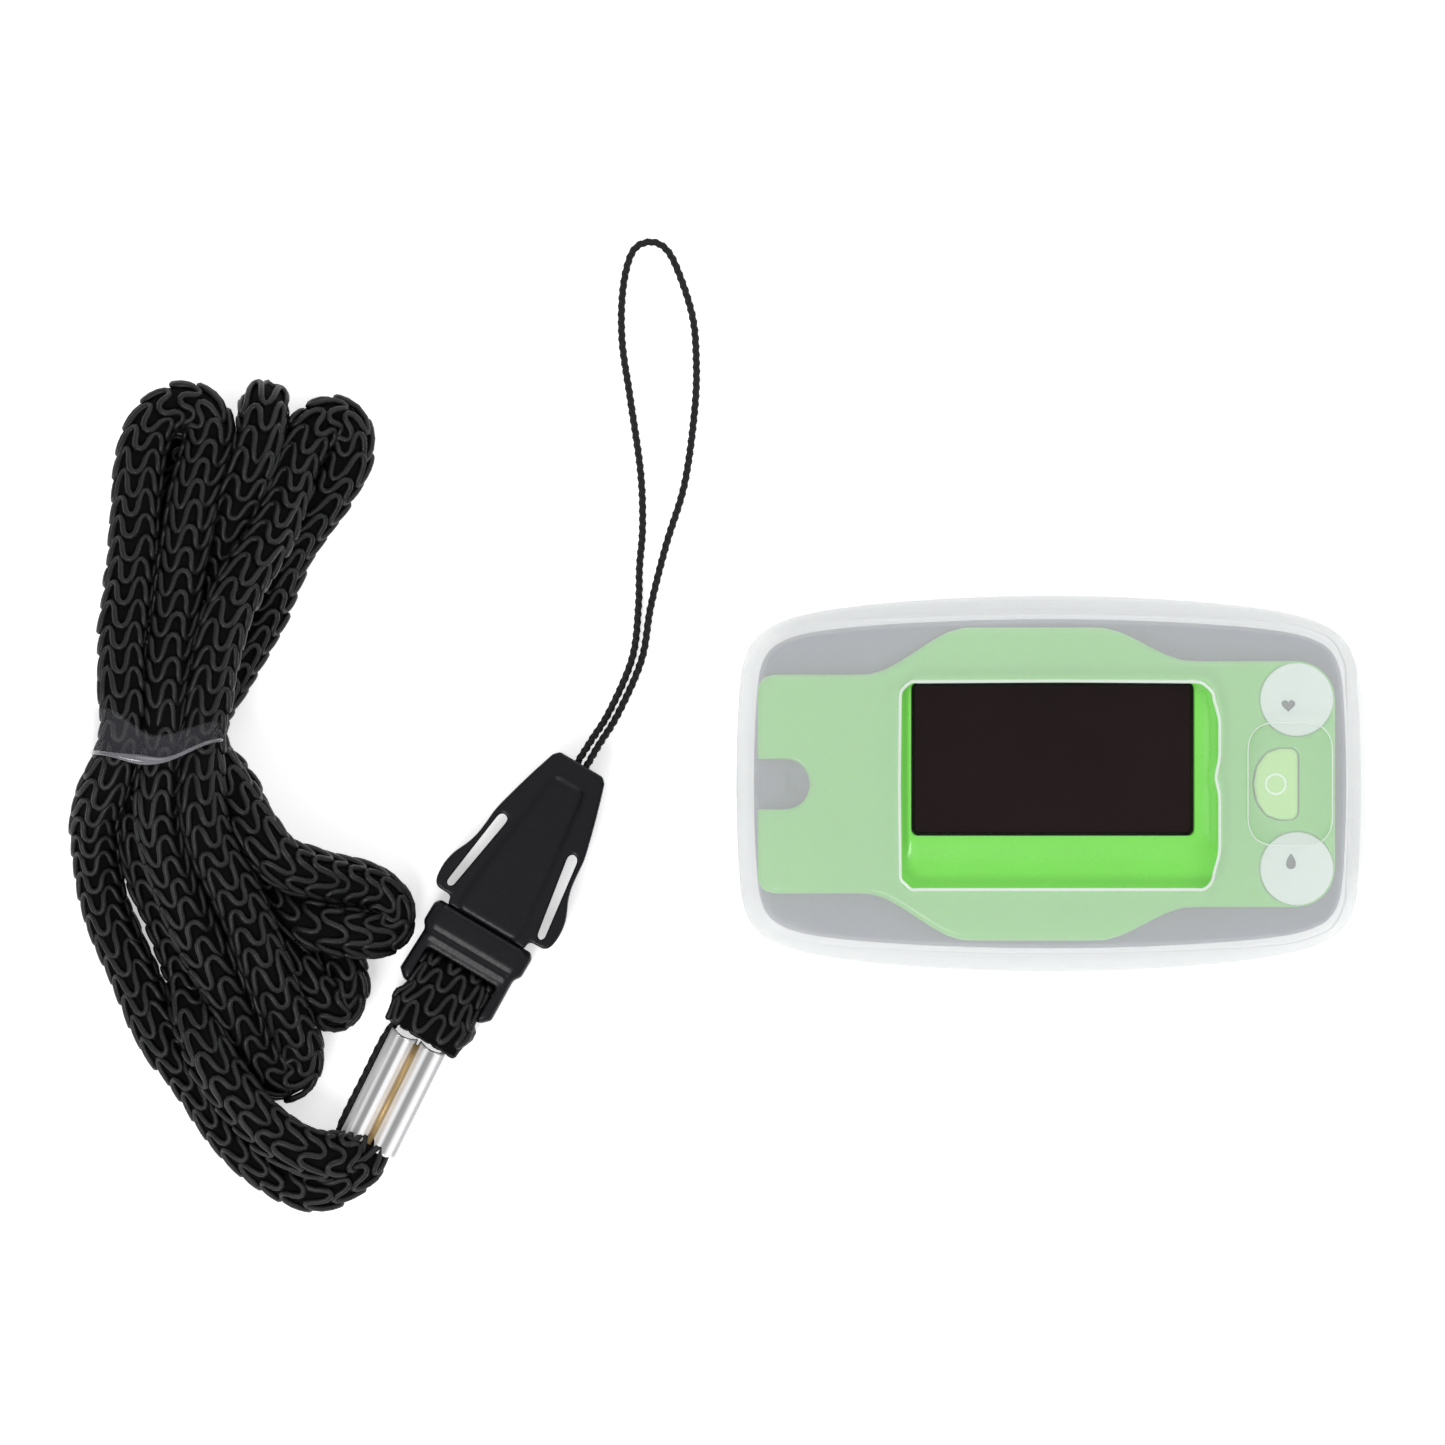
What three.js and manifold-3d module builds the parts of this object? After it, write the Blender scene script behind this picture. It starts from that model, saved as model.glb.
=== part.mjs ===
// Fingertip pulse oximeter in a soft cover, with its neck lanyard lying beside it.
// Millimetres. The oximeter stands on z = 0 with its centre at x = y = 0; the finger goes in at the +X end.
import * as THREE from 'three';
import { mergeVertices } from 'three/addons/utils/BufferGeometryUtils.js';
import Module from 'manifold-3d';

const wasm = await Module();
wasm.setup();

// ---- driving dimensions ----
const coverHalfLength = 30.2;
const coverHalfWidth = 18.1;
const coverHeight = 35.1;
const coverFloor = 1.4;
const coverSideBow = 2.4;
const endBow = 0.8;
const shellHalfLength = 28.5;
const shellHalfWidth = 16.2;
const shellSideBow = 1.6;
const shellBottom = 1.6;
const shellTop = 31.7;
const shellWall = 1.6;
const shellFloorThickness = 1.8;
const barrel = 0.5; // how far the sides swell between top and waist
const fitGap = 0.2;

const pinX = -15;
const pinZ = 17.4;
const pinRadius = 1;
const boreRadius = 1.07;
const earRadius = 2.6;
const partingHalfGap = 0.2;
const pinchSlope = 0.17; // both halves fall away from the parting plane behind the pin

const panelTop = 33.5;
const panelBottom = 31.9;
const panelLeft = -27.8;
const panelRight = 27.2;
const panelWideHalf = 15;
const panelNeckLeft = 10.5;
const panelNeckRight = 11.8;
const badgeX = 23.5;
const badgeY = 8.1;
const badgeRadius = 3.5;
const buttonX = 21.5;
const buttonHalfWidth = 2.05;
const buttonHalfLength = 3.3;
const buttonTravel = 0.5;

const lensBox = { x0: -13.2, x1: 13.4, y0: -4.7, y1: 9.5 };
const windowBox = { x0: -14.5, x1: 16.1, y0: -10.1, y1: 9.8 };

const boardBottom = 27.6;
const boardTop = 28.8;
const channelRadius = 9.07; // finger channel in the upper half
const channelZ = 13.53;
const grooveRadius = 17.8; // finger groove in the lower half
const grooveZ = 33;
const channelBack = -8;

const batteryRadius = 5.25;
const batteryLength = 43.4;
const batteryY = 5.45;
const batteryZ = 8.1;
const doorTravel = 3;
const doorX0 = -22.1;
const doorX1 = 21.6;

const cordDiameter = 5.2;
const stringDiameter = 0.8;

// ---- solids from three.js geometries ----
function solidOf(geometry) {
  const bare = geometry.index ? geometry.toNonIndexed() : geometry.clone();
  bare.deleteAttribute('normal');
  bare.deleteAttribute('uv');
  const merged = mergeVertices(bare, 1e-4);
  const vertProperties = new Float32Array(merged.attributes.position.array);
  const triVerts = new Uint32Array(merged.index.array);
  if (signedVolume(vertProperties, triVerts) < 0) triVerts.reverse();
  return new wasm.Manifold(new wasm.Mesh({ numProp: 3, vertProperties, triVerts }));
}

function signedVolume(positions, triangles) {
  const corner = (k) => new THREE.Vector3().fromArray(positions, triangles[k] * 3);
  let volume = 0;
  for (let k = 0; k < triangles.length; k += 3) {
    volume += corner(k).dot(corner(k + 1).cross(corner(k + 2)));
  }
  return volume;
}

function geometryOf(solid) {
  const mesh = solid.getMesh();
  const geometry = new THREE.BufferGeometry();
  const positions = new Float32Array(mesh.vertProperties);
  geometry.setAttribute('position', new THREE.BufferAttribute(positions, 3));
  geometry.setIndex(new THREE.BufferAttribute(new Uint32Array(mesh.triVerts), 1));
  return geometry;
}

function joined(first, ...others) {
  return others.reduce((sum, solid) => sum.add(solid), first);
}

function cut(solid, ...tools) {
  return tools.reduce((rest, tool) => rest.subtract(tool), solid);
}

function box(x0, x1, y0, y1, z0, z1) {
  const geometry = new THREE.BoxGeometry(x1 - x0, y1 - y0, z1 - z0);
  return solidOf(geometry.translate((x0 + x1) / 2, (y0 + y1) / 2, (z0 + z1) / 2));
}

// a flat outline raised from z0 to z1; swell rounds its edges by that much sideways over soften in height
function prism(shape, z0, z1, soften = 0, swell = soften, segments = 2, curveSegments = 3) {
  const geometry = new THREE.ExtrudeGeometry(shape, {
    depth: z1 - z0 - 2 * soften,
    bevelEnabled: soften > 0,
    bevelThickness: soften,
    bevelSize: swell,
    bevelOffset: -swell,
    bevelSegments: segments,
    curveSegments,
  });
  return solidOf(geometry.translate(0, 0, z0 + soften));
}

// an outline drawn in X and Z, raised along Y
function sidePrism(points, y0, y1) {
  const shape = new THREE.Shape(points.map(([x, z]) => new THREE.Vector2(x, z)));
  const geometry = new THREE.ExtrudeGeometry(shape, { depth: y1 - y0, bevelEnabled: false });
  return solidOf(geometry.rotateX(Math.PI / 2).translate(0, y1, 0));
}

function rodAlongX(radius, x0, x1, y, z, sides = 32) {
  const geometry = new THREE.CylinderGeometry(radius, radius, x1 - x0, sides);
  return solidOf(geometry.rotateZ(Math.PI / 2).translate((x0 + x1) / 2, y, z));
}

function rodAlongY(radius, y0, y1, x, z, sides = 24) {
  const geometry = new THREE.CylinderGeometry(radius, radius, y1 - y0, sides);
  return solidOf(geometry.translate(x, (y0 + y1) / 2, z));
}

function rodAlongZ(radius, z0, z1, x, y, sides = 24) {
  const geometry = new THREE.CylinderGeometry(radius, radius, z1 - z0, sides);
  return solidOf(geometry.rotateX(Math.PI / 2).translate(x, y, (z0 + z1) / 2));
}

function tube(curve, radius, steps, sides, flatten = 1) {
  const section = new THREE.Shape();
  section.absellipse(0, 0, radius, radius * flatten, 0, 2 * Math.PI);
  const rim = section.getPoints(sides).slice(0, sides);
  const shape = new THREE.Shape(rim);
  return new THREE.ExtrudeGeometry(shape, { steps, bevelEnabled: false, extrudePath: curve });
}

// ---- outlines ----
// rounded rectangle whose sides all bow outward at the middle, the long ones most
function bowedOutline(halfLength, halfWidth, sideBow, squareness, count = 56) {
  const points = [];
  for (let k = 0; k < count; k++) {
    const angle = (2 * Math.PI * k) / count;
    const [c, s] = [Math.cos(angle), Math.sin(angle)];
    const reach = (Math.abs(c) ** squareness + Math.abs(s) ** squareness) ** (-1 / squareness);
    const [along, across] = [reach * c, reach * s];
    points.push(new THREE.Vector2(
      (halfLength - endBow * across ** 2) * along, (halfWidth - sideBow * along ** 2) * across));
  }
  return new THREE.Shape(points);
}

const coverSquareness = 6;
const shellSquareness = 8;
const coverOutline = bowedOutline(coverHalfLength, coverHalfWidth, coverSideBow, coverSquareness);
const shellOutline = (inset) => bowedOutline(
  shellHalfLength - inset, shellHalfWidth - inset, shellSideBow, shellSquareness);

function roundedRectangle(x0, x1, y0, y1, radius) {
  const shape = new THREE.Shape();
  shape.absarc(x1 - radius, y1 - radius, radius, 0, Math.PI / 2);
  shape.absarc(x0 + radius, y1 - radius, radius, Math.PI / 2, Math.PI);
  shape.absarc(x0 + radius, y0 + radius, radius, Math.PI, 1.5 * Math.PI);
  shape.absarc(x1 - radius, y0 + radius, radius, 1.5 * Math.PI, 2 * Math.PI);
  return shape;
}

// green top plate: wide in the middle, narrowed by a soft step towards each end
function panelHalfWidth(x) {
  const left = THREE.MathUtils.smoothstep(x, -18, -8);
  const right = THREE.MathUtils.smoothstep(x, 4.5, 13.5);
  const toLeft = THREE.MathUtils.lerp(panelNeckLeft, panelWideHalf, left);
  return THREE.MathUtils.lerp(toLeft, panelNeckRight, right);
}

function panelOutline() {
  const leftCorner = 1.6;
  const rightCorner = badgeRadius + fitGap;
  const upper = [];
  for (let x = -19; x <= 14.5; x += 1.5) upper.push([x, panelHalfWidth(x)]);
  const shape = new THREE.Shape();
  shape.moveTo(panelLeft, 0);
  shape.lineTo(panelLeft, panelNeckLeft - leftCorner);
  shape.absarc(panelLeft + leftCorner, panelNeckLeft - leftCorner, leftCorner, Math.PI, Math.PI / 2, true);
  upper.forEach(([x, y]) => shape.lineTo(x, y));
  shape.absarc(panelRight - rightCorner, panelNeckRight - rightCorner, rightCorner, Math.PI / 2, 0, true);
  shape.absarc(panelRight - rightCorner, rightCorner - panelNeckRight, rightCorner, 0, -Math.PI / 2, true);
  upper.reverse().forEach(([x, y]) => shape.lineTo(x, -y));
  shape.absarc(panelLeft + leftCorner, leftCorner - panelNeckLeft, leftCorner, -Math.PI / 2, -Math.PI, true);
  return shape;
}

// the key: a flat right side and a round left side
function keyOutline(grow) {
  const right = buttonX + buttonHalfWidth + grow;
  const corner = 0.8 + grow;
  const half = buttonHalfLength + grow;
  const shape = new THREE.Shape();
  shape.moveTo(right, -half + corner);
  shape.lineTo(right, half - corner);
  shape.absarc(right - corner, half - corner, corner, 0, Math.PI / 2);
  shape.lineTo(buttonX + 0.3, half);
  shape.absellipse(buttonX + 0.3, 0, buttonHalfWidth + 0.3 + grow, half, Math.PI / 2, 1.5 * Math.PI);
  shape.absarc(right - corner, -half + corner, corner, 1.5 * Math.PI, 2 * Math.PI);
  return shape;
}

// ---- the two halves of the clamp ----
const far = 60;
const fallAt = (x) => pinchSlope * (pinX - x);
const lowerHalfSpace = sidePrism([
  [-far, -far], [far, -far], [far, pinZ - partingHalfGap], [pinX, pinZ - partingHalfGap],
  [-far, pinZ - partingHalfGap - fallAt(-far)],
], -far, far);
const upperHalfSpace = sidePrism([
  [-far, far], [far, far], [far, pinZ + partingHalfGap], [pinX, pinZ + partingHalfGap],
  [-far, pinZ + partingHalfGap + fallAt(-far)],
], -far, far);

const shellBlock = prism(shellOutline(0), shellBottom, shellTop, 10, barrel, 3);
const shellCavity = prism(
  shellOutline(shellWall), shellBottom + shellFloorThickness, shellTop - shellFloorThickness, 8, barrel, 3);
const cavityFit = prism(
  shellOutline(shellWall + fitGap), shellBottom + shellFloorThickness + fitGap,
  shellTop - shellFloorThickness - fitGap, 8, barrel, 3);
const coverBlock = prism(coverOutline, 0, coverHeight, 3.4, 2.6, 3);
const coverCavity = prism(shellOutline(-fitGap), coverFloor, panelTop + fitGap, 10, barrel, 3);

const channelCut = (radius) => rodAlongX(radius, channelBack, far, 0, channelZ, 48);
const grooveCut = (radius) => rodAlongX(radius, channelBack - 1, far, 0, grooveZ, 96);
const padHalfWidth = 9.5;
const padBottom = 14.3;
const padTop = pinZ - partingHalfGap - 0.1;
const mouth = (grow) => box(
  channelBack - grow, far, -padHalfWidth - grow, padHalfWidth + grow, padBottom - grow, far);

// lanyard eyelet: a slot under a bar at the back end of the upper half
const eyeletHalfWidth = 1.3;
const eyeletBlock = box(-27.6, -22.5, -2.4, 2.4, 26.9, shellTop - 0.4).intersect(shellBlock);
const eyeletWell = box(-25.4, -23.6, -eyeletHalfWidth, eyeletHalfWidth, 28.2, 40);
const eyeletTunnel = box(-40, -23.6, -eyeletHalfWidth, eyeletHalfWidth, 28.2, 30);

const boardScrewSpots = [[-18.4, 9.2], [-18.4, -9.2]];
const trayScrewSpots = [[-23, 8.6], [-23, -8.6]];

function upperShell() {
  const hollow = cut(shellBlock.intersect(upperHalfSpace), shellCavity);
  const bosses = [...boardScrewSpots.map(([x, y]) => rodAlongZ(1.9, boardTop + 0.15, 30.2, x, y)),
    ...trayScrewSpots.map(([x, y]) => rodAlongZ(1.9, 22.4, 30.2, x, y))];
  const bores = [...boardScrewSpots.map(([x, y]) => rodAlongZ(0.95, 20, 30.9, x, y, 12)),
    ...trayScrewSpots.map(([x, y]) => rodAlongZ(0.95, 20, 27, x, y, 12))];
  const displayWindow = box(-12, 12.2, -3.9, 8.7, 25, 40);
  const keyPocket = prism(keyOutline(0.75), shellTop - 1.2, 40);
  const keyStemHole = rodAlongZ(1.3, 25, 40, buttonX, 0);
  return cut(
    joined(hollow, eyeletBlock, ...bosses), ...bores, displayWindow, keyPocket, keyStemHole,
    eyeletWell, eyeletTunnel, channelCut(channelRadius + 1.35));
}

function topPanel() {
  const plate = prism(panelOutline(), panelBottom, panelTop, 0.5, 0.5, 2);
  const lensHole = box(
    lensBox.x0 - fitGap, lensBox.x1 + fitGap, lensBox.y0 - fitGap, lensBox.y1 + fitGap, 25, 40);
  const keyHole = prism(keyOutline(fitGap), 25, 40);
  const badgeWells = [1, -1].map((side) => rodAlongZ(
    badgeRadius + 0.12, panelTop - 0.45, 40, badgeX, side * badgeY, 40));
  const notchDepth = 4.6;
  const notchHalf = 2.4;
  const notch = prism(roundedRectangle(
    -far, panelLeft + notchDepth, -notchHalf, notchHalf, notchHalf - 0.1), 25, 40);
  return cut(plate, lensHole, keyHole, ...badgeWells, notch);
}

const displayLens = () => prism(
  roundedRectangle(lensBox.x0, lensBox.x1, lensBox.y0, lensBox.y1, 0.5), 32.2, panelTop + 0.1, 0.15);

function displayModule() {
  const frameBlock = box(-13, 13.2, -5.2, 10, boardTop + 0.15, shellTop - shellFloorThickness - 0.15);
  const glass = box(-11.6, 11.8, -3.5, 8.3, boardTop + 0.4, 32);
  return joined(frameBlock, glass);
}

function mainBoard() {
  const board = prism(roundedRectangle(-20.7, 25.2, -11.4, 11.4, 1.5), boardBottom, boardTop);
  return cut(board, ...boardScrewSpots.map(([x, y]) => rodAlongZ(1.15, 20, 40, x, y, 12)));
}

const tactSwitch = () => joined(
  box(buttonX - 2.2, buttonX + 2.2, -2.2, 2.2, boardTop + 0.15, boardTop + 0.95),
  rodAlongZ(1.15, boardTop + 0.5, boardTop + 1.25, buttonX, 0));

function powerButton() {
  const cap = prism(keyOutline(0), panelBottom - 0.1, panelTop + 0.1, 0.3);
  const flange = prism(keyOutline(0.5), shellTop - 0.6, shellTop - 0.05);
  const stem = rodAlongZ(1, boardTop + 1.25 + buttonTravel + 0.1, shellTop, buttonX, 0);
  const neck = prism(keyOutline(-0.3), shellTop - 0.3, panelTop - 0.5);
  return joined(cap, flange, stem, neck);
}

const badge = (side) => rodAlongZ(
  badgeRadius, panelTop - 0.3, panelTop + 0.08, badgeX, side * badgeY, 40);

// ---- finger channel ----
function upperTray() {
  const flange = box(-far, far, -far, far, -far, pinZ + partingHalfGap + 1.5);
  const vault = rodAlongX(channelRadius + 2.3, channelBack - 2, far, 0, channelZ, 48);
  const slopedLip = sidePrism([
    [-far, 0], [pinX, 0], [pinX, pinZ + 1.7], [-far, pinZ + 1.7 + fallAt(-far)],
  ], -far, far);
  const knuckleZone = box(pinX - 4.6, pinX + 5, -13, 13, 0, pinZ + 4.6);
  const solid = joined(flange, vault, slopedLip, knuckleZone).intersect(cavityFit).intersect(upperHalfSpace);
  const knuckles = [1, -1].map((side) => {
    const near = Math.min(side * 6.9, side * 9.2);
    return joined(
      rodAlongY(earRadius, near, near + 2.3, pinX, pinZ),
      box(pinX - earRadius, pinX + earRadius, near, near + 2.3, pinZ, pinZ + 4));
  });
  const springBay = box(pinX - 3.6, pinX + 3.6, -6.5, 6.5, 0, pinZ + 3.6);
  const earBays = [1, -1].map((side) => {
    const near = Math.min(side * 9.45, side * 11.75);
    return rodAlongY(earRadius + 0.35, near, near + 2.3, pinX, pinZ);
  });
  const ribbonSlot = box(-11.3, -9.7, -3.1, 3.1, 0, far);
  const emitterHole = box(9.6, 14.4, -2.1, 2.1, 20, 40);
  const screwBores = trayScrewSpots.map(([x, y]) => joined(
    rodAlongZ(1.15, 0, 40, x, y, 12), rodAlongZ(2.1, 0, pinZ + 2.6, x, y, 16)));
  const bossRelief = trayScrewSpots.map(([x, y]) => rodAlongZ(2.2, 22.1, 40, x, y));
  return cut(
    joined(solid.subtract(channelCut(channelRadius + 1.25)), ...knuckles), springBay, ...earBays,
    rodAlongY(boreRadius, -13, 13, pinX, pinZ), ribbonSlot, emitterHole, ...screwBores, ...bossRelief);
}

function upperPad() {
  const mouthX = shellHalfLength - 0.4;
  const outer = rodAlongX(channelRadius + 1.1, channelBack + 0.1, mouthX, 0, channelZ, 48);
  const inner = rodAlongX(channelRadius, channelBack + 1.4, far, 0, channelZ, 48);
  const lightHole = box(9.8, 14.2, -1.9, 1.9, 15, 40);
  return cut(outer.intersect(upperHalfSpace), inner, lightHole);
}

function lowerTray() {
  const trayBottom = 13.45;
  const block = box(-24.4, far, -far, far, trayBottom, far).intersect(cavityFit).intersect(lowerHalfSpace);
  const ears = [1, -1].map((side) => {
    const near = Math.min(side * 9.6, side * 11.6);
    return joined(
      rodAlongY(earRadius, near, near + 2, pinX, pinZ),
      box(pinX - earRadius, pinX + earRadius, near, near + 2, trayBottom, pinZ));
  });
  const knuckleBay = box(pinX - 3.6, pinX + 3.6, -9.45, 9.45, pinZ - 3.1, far);
  const ribbonSlot = box(-11.3, -9.7, -3.1, 3.1, 0, far);
  const sensorHole = box(9.4, 14.6, -2.6, 2.6, 0, far);
  return cut(
    joined(cut(block, mouth(0.1), knuckleBay), ...ears),
    rodAlongY(boreRadius, -13, 13, pinX, pinZ), ribbonSlot, sensorHole);
}

function lowerPad() {
  const plate = box(channelBack, shellHalfLength - 0.4, -padHalfWidth, padHalfWidth, padBottom, padTop);
  const groove = rodAlongX(grooveRadius, channelBack + 1.4, far, 0, grooveZ, 96);
  const lightHole = box(9.8, 14.2, -2.1, 2.1, 0, far);
  return cut(plate, groove, lightHole);
}

// ---- lower half ----
const doorOutline = (x0, x1, half) => roundedRectangle(x0, x1, -half, half, 3.5);

function lowerShell() {
  const hollow = cut(shellBlock.intersect(lowerHalfSpace), shellCavity);
  const doorRecessEnd = doorX1 + doorTravel + 0.3;
  const doorRecess = prism(doorOutline(doorX0 - fitGap, doorRecessEnd, 11.5), 0, shellBottom + 0.9);
  const batteryMouth = prism(doorOutline(doorX0 + 0.9, doorX1 - 0.9, 10.8), 0, shellBottom + 3);
  const cradles = [1, -1].map((side) => rodAlongX(
    batteryRadius + 0.12, -22.9, 22.9, side * batteryY, batteryZ, 28));
  return cut(hollow, doorRecess, batteryMouth, mouth(0.1), ...cradles);
}

function batteryDoor() {
  const plate = prism(doorOutline(doorX0, doorX1, 11.3), shellBottom + 0.05, shellBottom + 0.75);
  const ridges = [0, 1, 2, 3, 4].map((k) => box(
    13 + 1.4 * k, 13.6 + 1.4 * k, -4, 4, shellBottom - 0.4, shellBottom + 0.3));
  return joined(plate, ...ridges);
}

function battery(side) {
  const half = batteryLength / 2;
  const profile = [[0, -half], [batteryRadius - 0.5, -half], [batteryRadius, -half + 0.5],
    [batteryRadius, half - 0.6], [batteryRadius - 0.6, half], [1.9, half], [1.9, half + 1], [0, half + 1]];
  const geometry = new THREE.LatheGeometry(profile.map(([r, y]) => new THREE.Vector2(r, y)), 28);
  geometry.rotateZ(side > 0 ? -Math.PI / 2 : Math.PI / 2);
  return solidOf(geometry.translate(0, side * batteryY, batteryZ));
}

class Helix extends THREE.Curve {
  constructor(turns, startRadius, endRadius, length) {
    super();
    Object.assign(this, { turns, startRadius, endRadius, length });
  }

  getPoint(t, target = new THREE.Vector3()) {
    const angle = 2 * Math.PI * this.turns * t;
    const radius = THREE.MathUtils.lerp(this.startRadius, this.endRadius, t);
    return target.set(this.length * t, radius * Math.cos(angle), radius * Math.sin(angle));
  }
}

function contactSpring(side) {
  const geometry = tube(new Helix(2.5, 3.2, 1.8, 1.5), 0.22, 44, 5);
  if (side < 0) geometry.rotateZ(Math.PI);
  const startX = side > 0 ? -batteryLength / 2 - 1.95 : batteryLength / 2 + 1.95;
  return solidOf(geometry.translate(startX, side * batteryY, batteryZ));
}

const contactPlate = (x0, x1, y0, y1) => box(x0, x1, y0, y1, 4.6, 12.2);

function torsionSpring(side) {
  const coil = new Helix(4, 1.75, 1.75, 3);
  const points = coil.getSpacedPoints(48).map((p) => new THREE.Vector3(p.z, p.x, p.y));
  const last = points[points.length - 1];
  points.unshift(new THREE.Vector3(points[0].x - 0.5, points[0].y - 0.1, points[0].z - 0.6));
  points.push(new THREE.Vector3(last.x - 0.5, last.y + 0.1, last.z + 0.5));
  const geometry = tube(new THREE.CatmullRomCurve3(points), 0.3, 64, 5);
  return solidOf(geometry.translate(pinX, side > 0 ? 2.4 : -5.4, pinZ));
}

function sensorRibbon() {
  const thickness = 0.25;
  const bulge = 0.35;
  const points = [];
  const back = [];
  for (let k = 0; k <= 10; k++) {
    const z = THREE.MathUtils.lerp(13.75, boardBottom - 0.2, k / 10);
    const x = -10.5 + bulge * Math.sin((2 * Math.PI * k) / 10);
    points.push([x - thickness / 2, z]);
    back.unshift([x + thickness / 2, z]);
  }
  return sidePrism([...points, ...back], -2.5, 2.5);
}

// ---- soft cover ----
function coverUpper() {
  const body = cut(coverBlock.intersect(upperHalfSpace), coverCavity);
  const displayWindow = prism(roundedRectangle(
    windowBox.x0, windowBox.x1, windowBox.y0, windowBox.y1, 1.2), 25, 60);
  const keyZone = prism(roundedRectangle(18.8, 26.9, -5.9, 5.9, 2.8), panelTop + 0.7, 60);
  const eyeletSlot = box(-40, -27.5, -2, 2, 27.6, 30.6);
  return cut(body, displayWindow, keyZone, eyeletSlot, channelCut(channelRadius + 1.5));
}

function coverLower() {
  const body = cut(coverBlock.intersect(lowerHalfSpace), coverCavity);
  const doorWindow = prism(doorOutline(-22.9, 25.3, 11.8), -5, 5);
  return cut(body, doorWindow, mouth(0.35));
}

function screw(x, y, headTop, length, headRadius = 1.7) {
  const shaftRadius = 0.8;
  const headHeight = 0.7;
  const profile = [[0, 0], [headRadius, 0], [headRadius, headHeight], [shaftRadius, headHeight],
    [shaftRadius, length], [0, length]];
  const geometry = new THREE.LatheGeometry(profile.map(([r, h]) => new THREE.Vector2(r, h)), 16);
  const slot = box(-headRadius, headRadius, -0.2, 0.2, -1, 0.3);
  return solidOf(geometry.rotateX(Math.PI / 2)).subtract(slot).translate([x, y, headTop]);
}

// ---- lanyard: buckle, ferrule, string loop and neck cord, all lying on the table ----
const buckleFoot = new THREE.Vector2(-58.6, -20.8);
const buckleAngle = THREE.MathUtils.degToRad(59.4);
const buckleMid = 3;
const lanyardFloor = 0.3;

// turns a solid drawn with its length along +X from the origin onto the buckle's axis
function alongBuckle(solid) {
  const degrees = THREE.MathUtils.radToDeg(buckleAngle);
  return solid.rotate([0, 0, degrees]).translate([buckleFoot.x, buckleFoot.y, 0]);
}

function mirrored(points) {
  const shape = new THREE.Shape(points.map(([x, y]) => new THREE.Vector2(x, y)));
  [...points].reverse().forEach(([x, y]) => shape.lineTo(x, -y));
  return shape;
}

// Along the buckle's axis the frame runs from -0.4 to 8.05 mm, the release half from there to 26.3 mm.
function buckleFemale() {
  const frame = prism(mirrored([
    [-0.4, 4.3], [0.4, 5.15], [4.9, 5], [5.5, 5.5], [7.6, 5.5], [8.05, 5.05],
  ]), buckleMid - 2.5, buckleMid + 2.5, 0.6);
  const cordWindow = box(1, 3.5, -3.9, 3.9, -5, 10);
  const barRelief = cut(box(-1, 2, -3.9, 3.9, -5, 10), box(-2, 3, -5, 5, buckleMid - 0.8, buckleMid + 0.8));
  const socket = box(5, 20, -2.2, 2.2, buckleMid - 1.3, buckleMid + 1.3);
  return alongBuckle(cut(frame, cordWindow, barRelief, socket));
}

function buckleMale() {
  const body = prism(mirrored([
    [8.3, 4.4], [8.9, 4.5], [8.9, 5.8], [9.4, 6.5], [11.7, 6.6], [13.7, 5.9], [15, 5.4], [16.2, 5.3],
    [18.6, 5.05], [26, 2.85], [26.3, 2.3],
  ]), buckleMid - 2.2, buckleMid + 2.2, 0.6);
  const slits = [1, -1].map((side) => {
    const corners = [[9.5, 4.5], [9.5, 5.2], [18.1, 4.5], [18.1, 3.5]];
    const shape = new THREE.Shape(corners.map(([x, y]) => new THREE.Vector2(x, side * y)));
    return prism(shape, -5, 10);
  });
  const hookGaps = [1, -1].map((side) => {
    const near = Math.min(side * 4.5, side * 4.75);
    return box(8.6, 9.7, near, near + 0.25, -5, 10);
  });
  const tongue = box(5.4, 9, -1.9, 1.9, buckleMid - 1, buckleMid + 1);
  const stringSocket = box(23.2, 30, -1.3, 1.3, buckleMid - 0.75, buckleMid + 0.75);
  return alongBuckle(cut(joined(cut(body, ...slits, ...hookGaps), tongue), stringSocket));
}

function cordHead() {
  const outside = prism(roundedRectangle(-4.4, -0.7, -4.1, 4.1, 1.2), 0.5, 5.5, 0.8);
  const inside = prism(roundedRectangle(-1.5, 3.2, -3.6, 3.6, 1), 0.5, 5.5, 0.8);
  const barHole = box(-0.7, 1.3, -8, 8, buckleMid - 1.15, buckleMid + 1.15);
  return alongBuckle(cut(joined(outside, inside), barHole));
}

function ferrule() {
  const top = new THREE.Vector2(-61.05, -25.1);
  const bottom = new THREE.Vector2(-65.75, -34.55);
  const length = top.distanceTo(bottom);
  const degrees = THREE.MathUtils.radToDeg(Math.atan2(top.y - bottom.y, top.x - bottom.x));
  const halves = [1.25, -1.25].map((y) => rodAlongX(1.7, 0, length, y, buckleMid, 24));
  const seam = box(0.2, length - 0.2, -0.5, 0.5, buckleMid - 1.3, buckleMid + 1.3);
  return joined(...halves, seam).rotate([0, 0, degrees]).translate([bottom.x, bottom.y, 0]);
}

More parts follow.
